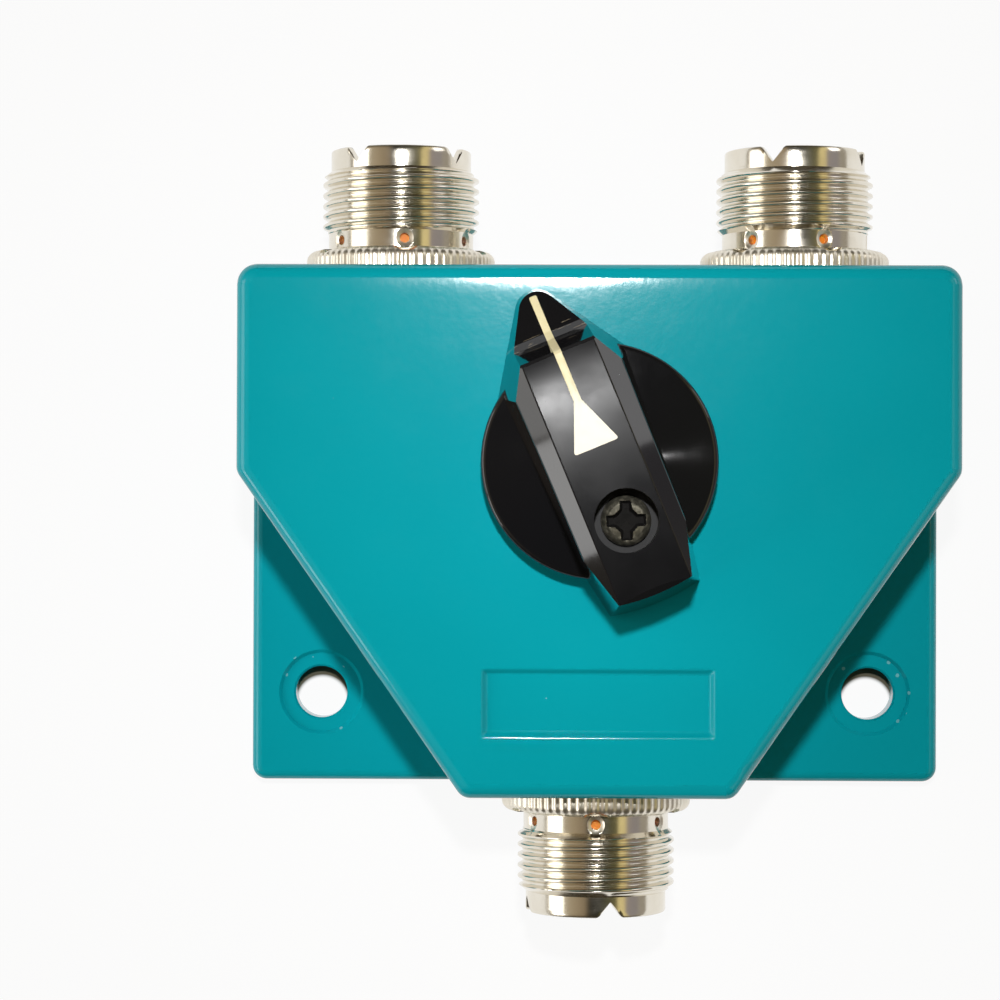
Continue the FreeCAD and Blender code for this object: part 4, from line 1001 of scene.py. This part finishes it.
LAMPS = {
    "lamp_over_lens": ((-0.004, 0.067, 0.363), (-0.004, -0.002, 0.028), 0.016, 0.014, 0.034, 34),
    "soft_box_left": ((-0.525, 0.03, 0.225), (0, 0, 0.02), 0.42, 0.28, 0.8),
    "panel_left": ((-0.43, -0.23, 0.20), (0, 0, 0.04), 0.14, 0.16, 0.30),
    "panel_right": ((0.43, 0.23, 0.20), (0, 0, 0.04), 0.14, 0.16, 0.14),
    "lamp_far_off": ((0.162, -0.011, 0.612), (0.009, -0.001, 0.033), 0.008, 0.006, 0.004),
}
for name, values in LAMPS.items():
    area_lamp(name, *values)
print("lamps:", len(LAMPS))

# %% [markdown]
# ## The room
#
# Bright metal shows the room more than the lamps.  An image of a room could light it, but a few
# ramps on the direction do as well here: walls, a ceiling with dark and pale stretches, and dim
# ends, all a little warm.

# %% The room
class Room(Finish):
    """The world's nodes, made with the same calls as a finish."""

    def __init__(self, name):
        world = bpy.data.worlds.new(name)
        bpy.context.scene.world = world
        world.use_nodes = True
        self.tree = world.node_tree
        self.tree.nodes.clear()

    def fill(self, colour):
        shader = self.node("ShaderNodeBackground", None, {0: colour})
        end = self.tree.nodes.new("ShaderNodeOutputWorld")
        self.tree.links.new(shader.socket, end.inputs["Surface"])


def make_room():
    """Pale walls at the sides; overhead, dark and brownish stretches from left to right."""
    room = Room("room")
    where = room.node("ShaderNodeTexCoord", output="Generated")
    split = room.node("ShaderNodeSeparateXYZ", None, {0: where})
    across = split * 0.5 + 0.5
    ceiling = room.ramp(
        across, (0.0, (0.62, 0.58, 0.50, 1)), (0.10, (0.44, 0.38, 0.28, 1)),
        (0.20, (0.38, 0.31, 0.21, 1)), (0.34, (0.26, 0.20, 0.13, 1)),
        (0.40, (0.05, 0.042, 0.028, 1)), (0.44, (0.025, 0.023, 0.018, 1)),
        (0.57, (0.025, 0.024, 0.016, 1)), (0.66, (0.07, 0.068, 0.035, 1)),
        (0.77, (0.12, 0.11, 0.05, 1)), (0.80, (0.80, 0.68, 0.34, 1)), (0.86, (0.72, 0.60, 0.30, 1)),
        (0.89, (0.30, 0.27, 0.28, 1)), (0.97, (0.28, 0.26, 0.27, 1)), (1.0, (0.50, 0.46, 0.38, 1)))
    wall = room.ramp(split.other("Z"), (0.16, 1.0), (0.34, 0.0))
    walls = room.blend(wall, ceiling, (0.34, 0.31, 0.26, 1))
    ahead = room.node("ShaderNodeMath", {"operation": "ABSOLUTE"}, {0: split.other("Y")})
    ends = room.ramp(ahead, (0.42, 0.0), (0.70, 1.0))
    room.fill(room.blend(ends, walls, (0.05, 0.04, 0.025, 1)))
    print("nodes in the room:", len(room.tree.nodes))


make_room()

# %% [markdown]
# ## Camera
#
# The camera looks straight down at the panel from a little left of the knob, with a long lens, so
# that the box is seen square and only the sockets' far ends open up.

# %% Camera
CAMERA_PLACE = Vector((-5.265, -5.66, 333.81)) * MM
CAMERA_TURN = (0.00629, 0.01437, 0.00331)
camera_data = bpy.data.cameras.new("camera")
camera_data.sensor_width = 36
camera_data.lens = 112.45
camera_data.clip_start = 0.01
camera_data.clip_end = 20
camera = bpy.data.objects.new("camera", camera_data)
camera.location = CAMERA_PLACE
camera.rotation_euler = CAMERA_TURN
bpy.context.scene.collection.objects.link(camera)
bpy.context.scene.camera = camera
bpy.context.scene.view_settings.view_transform = "Standard"
print("camera height in mm:", round(camera.location.z / MM))
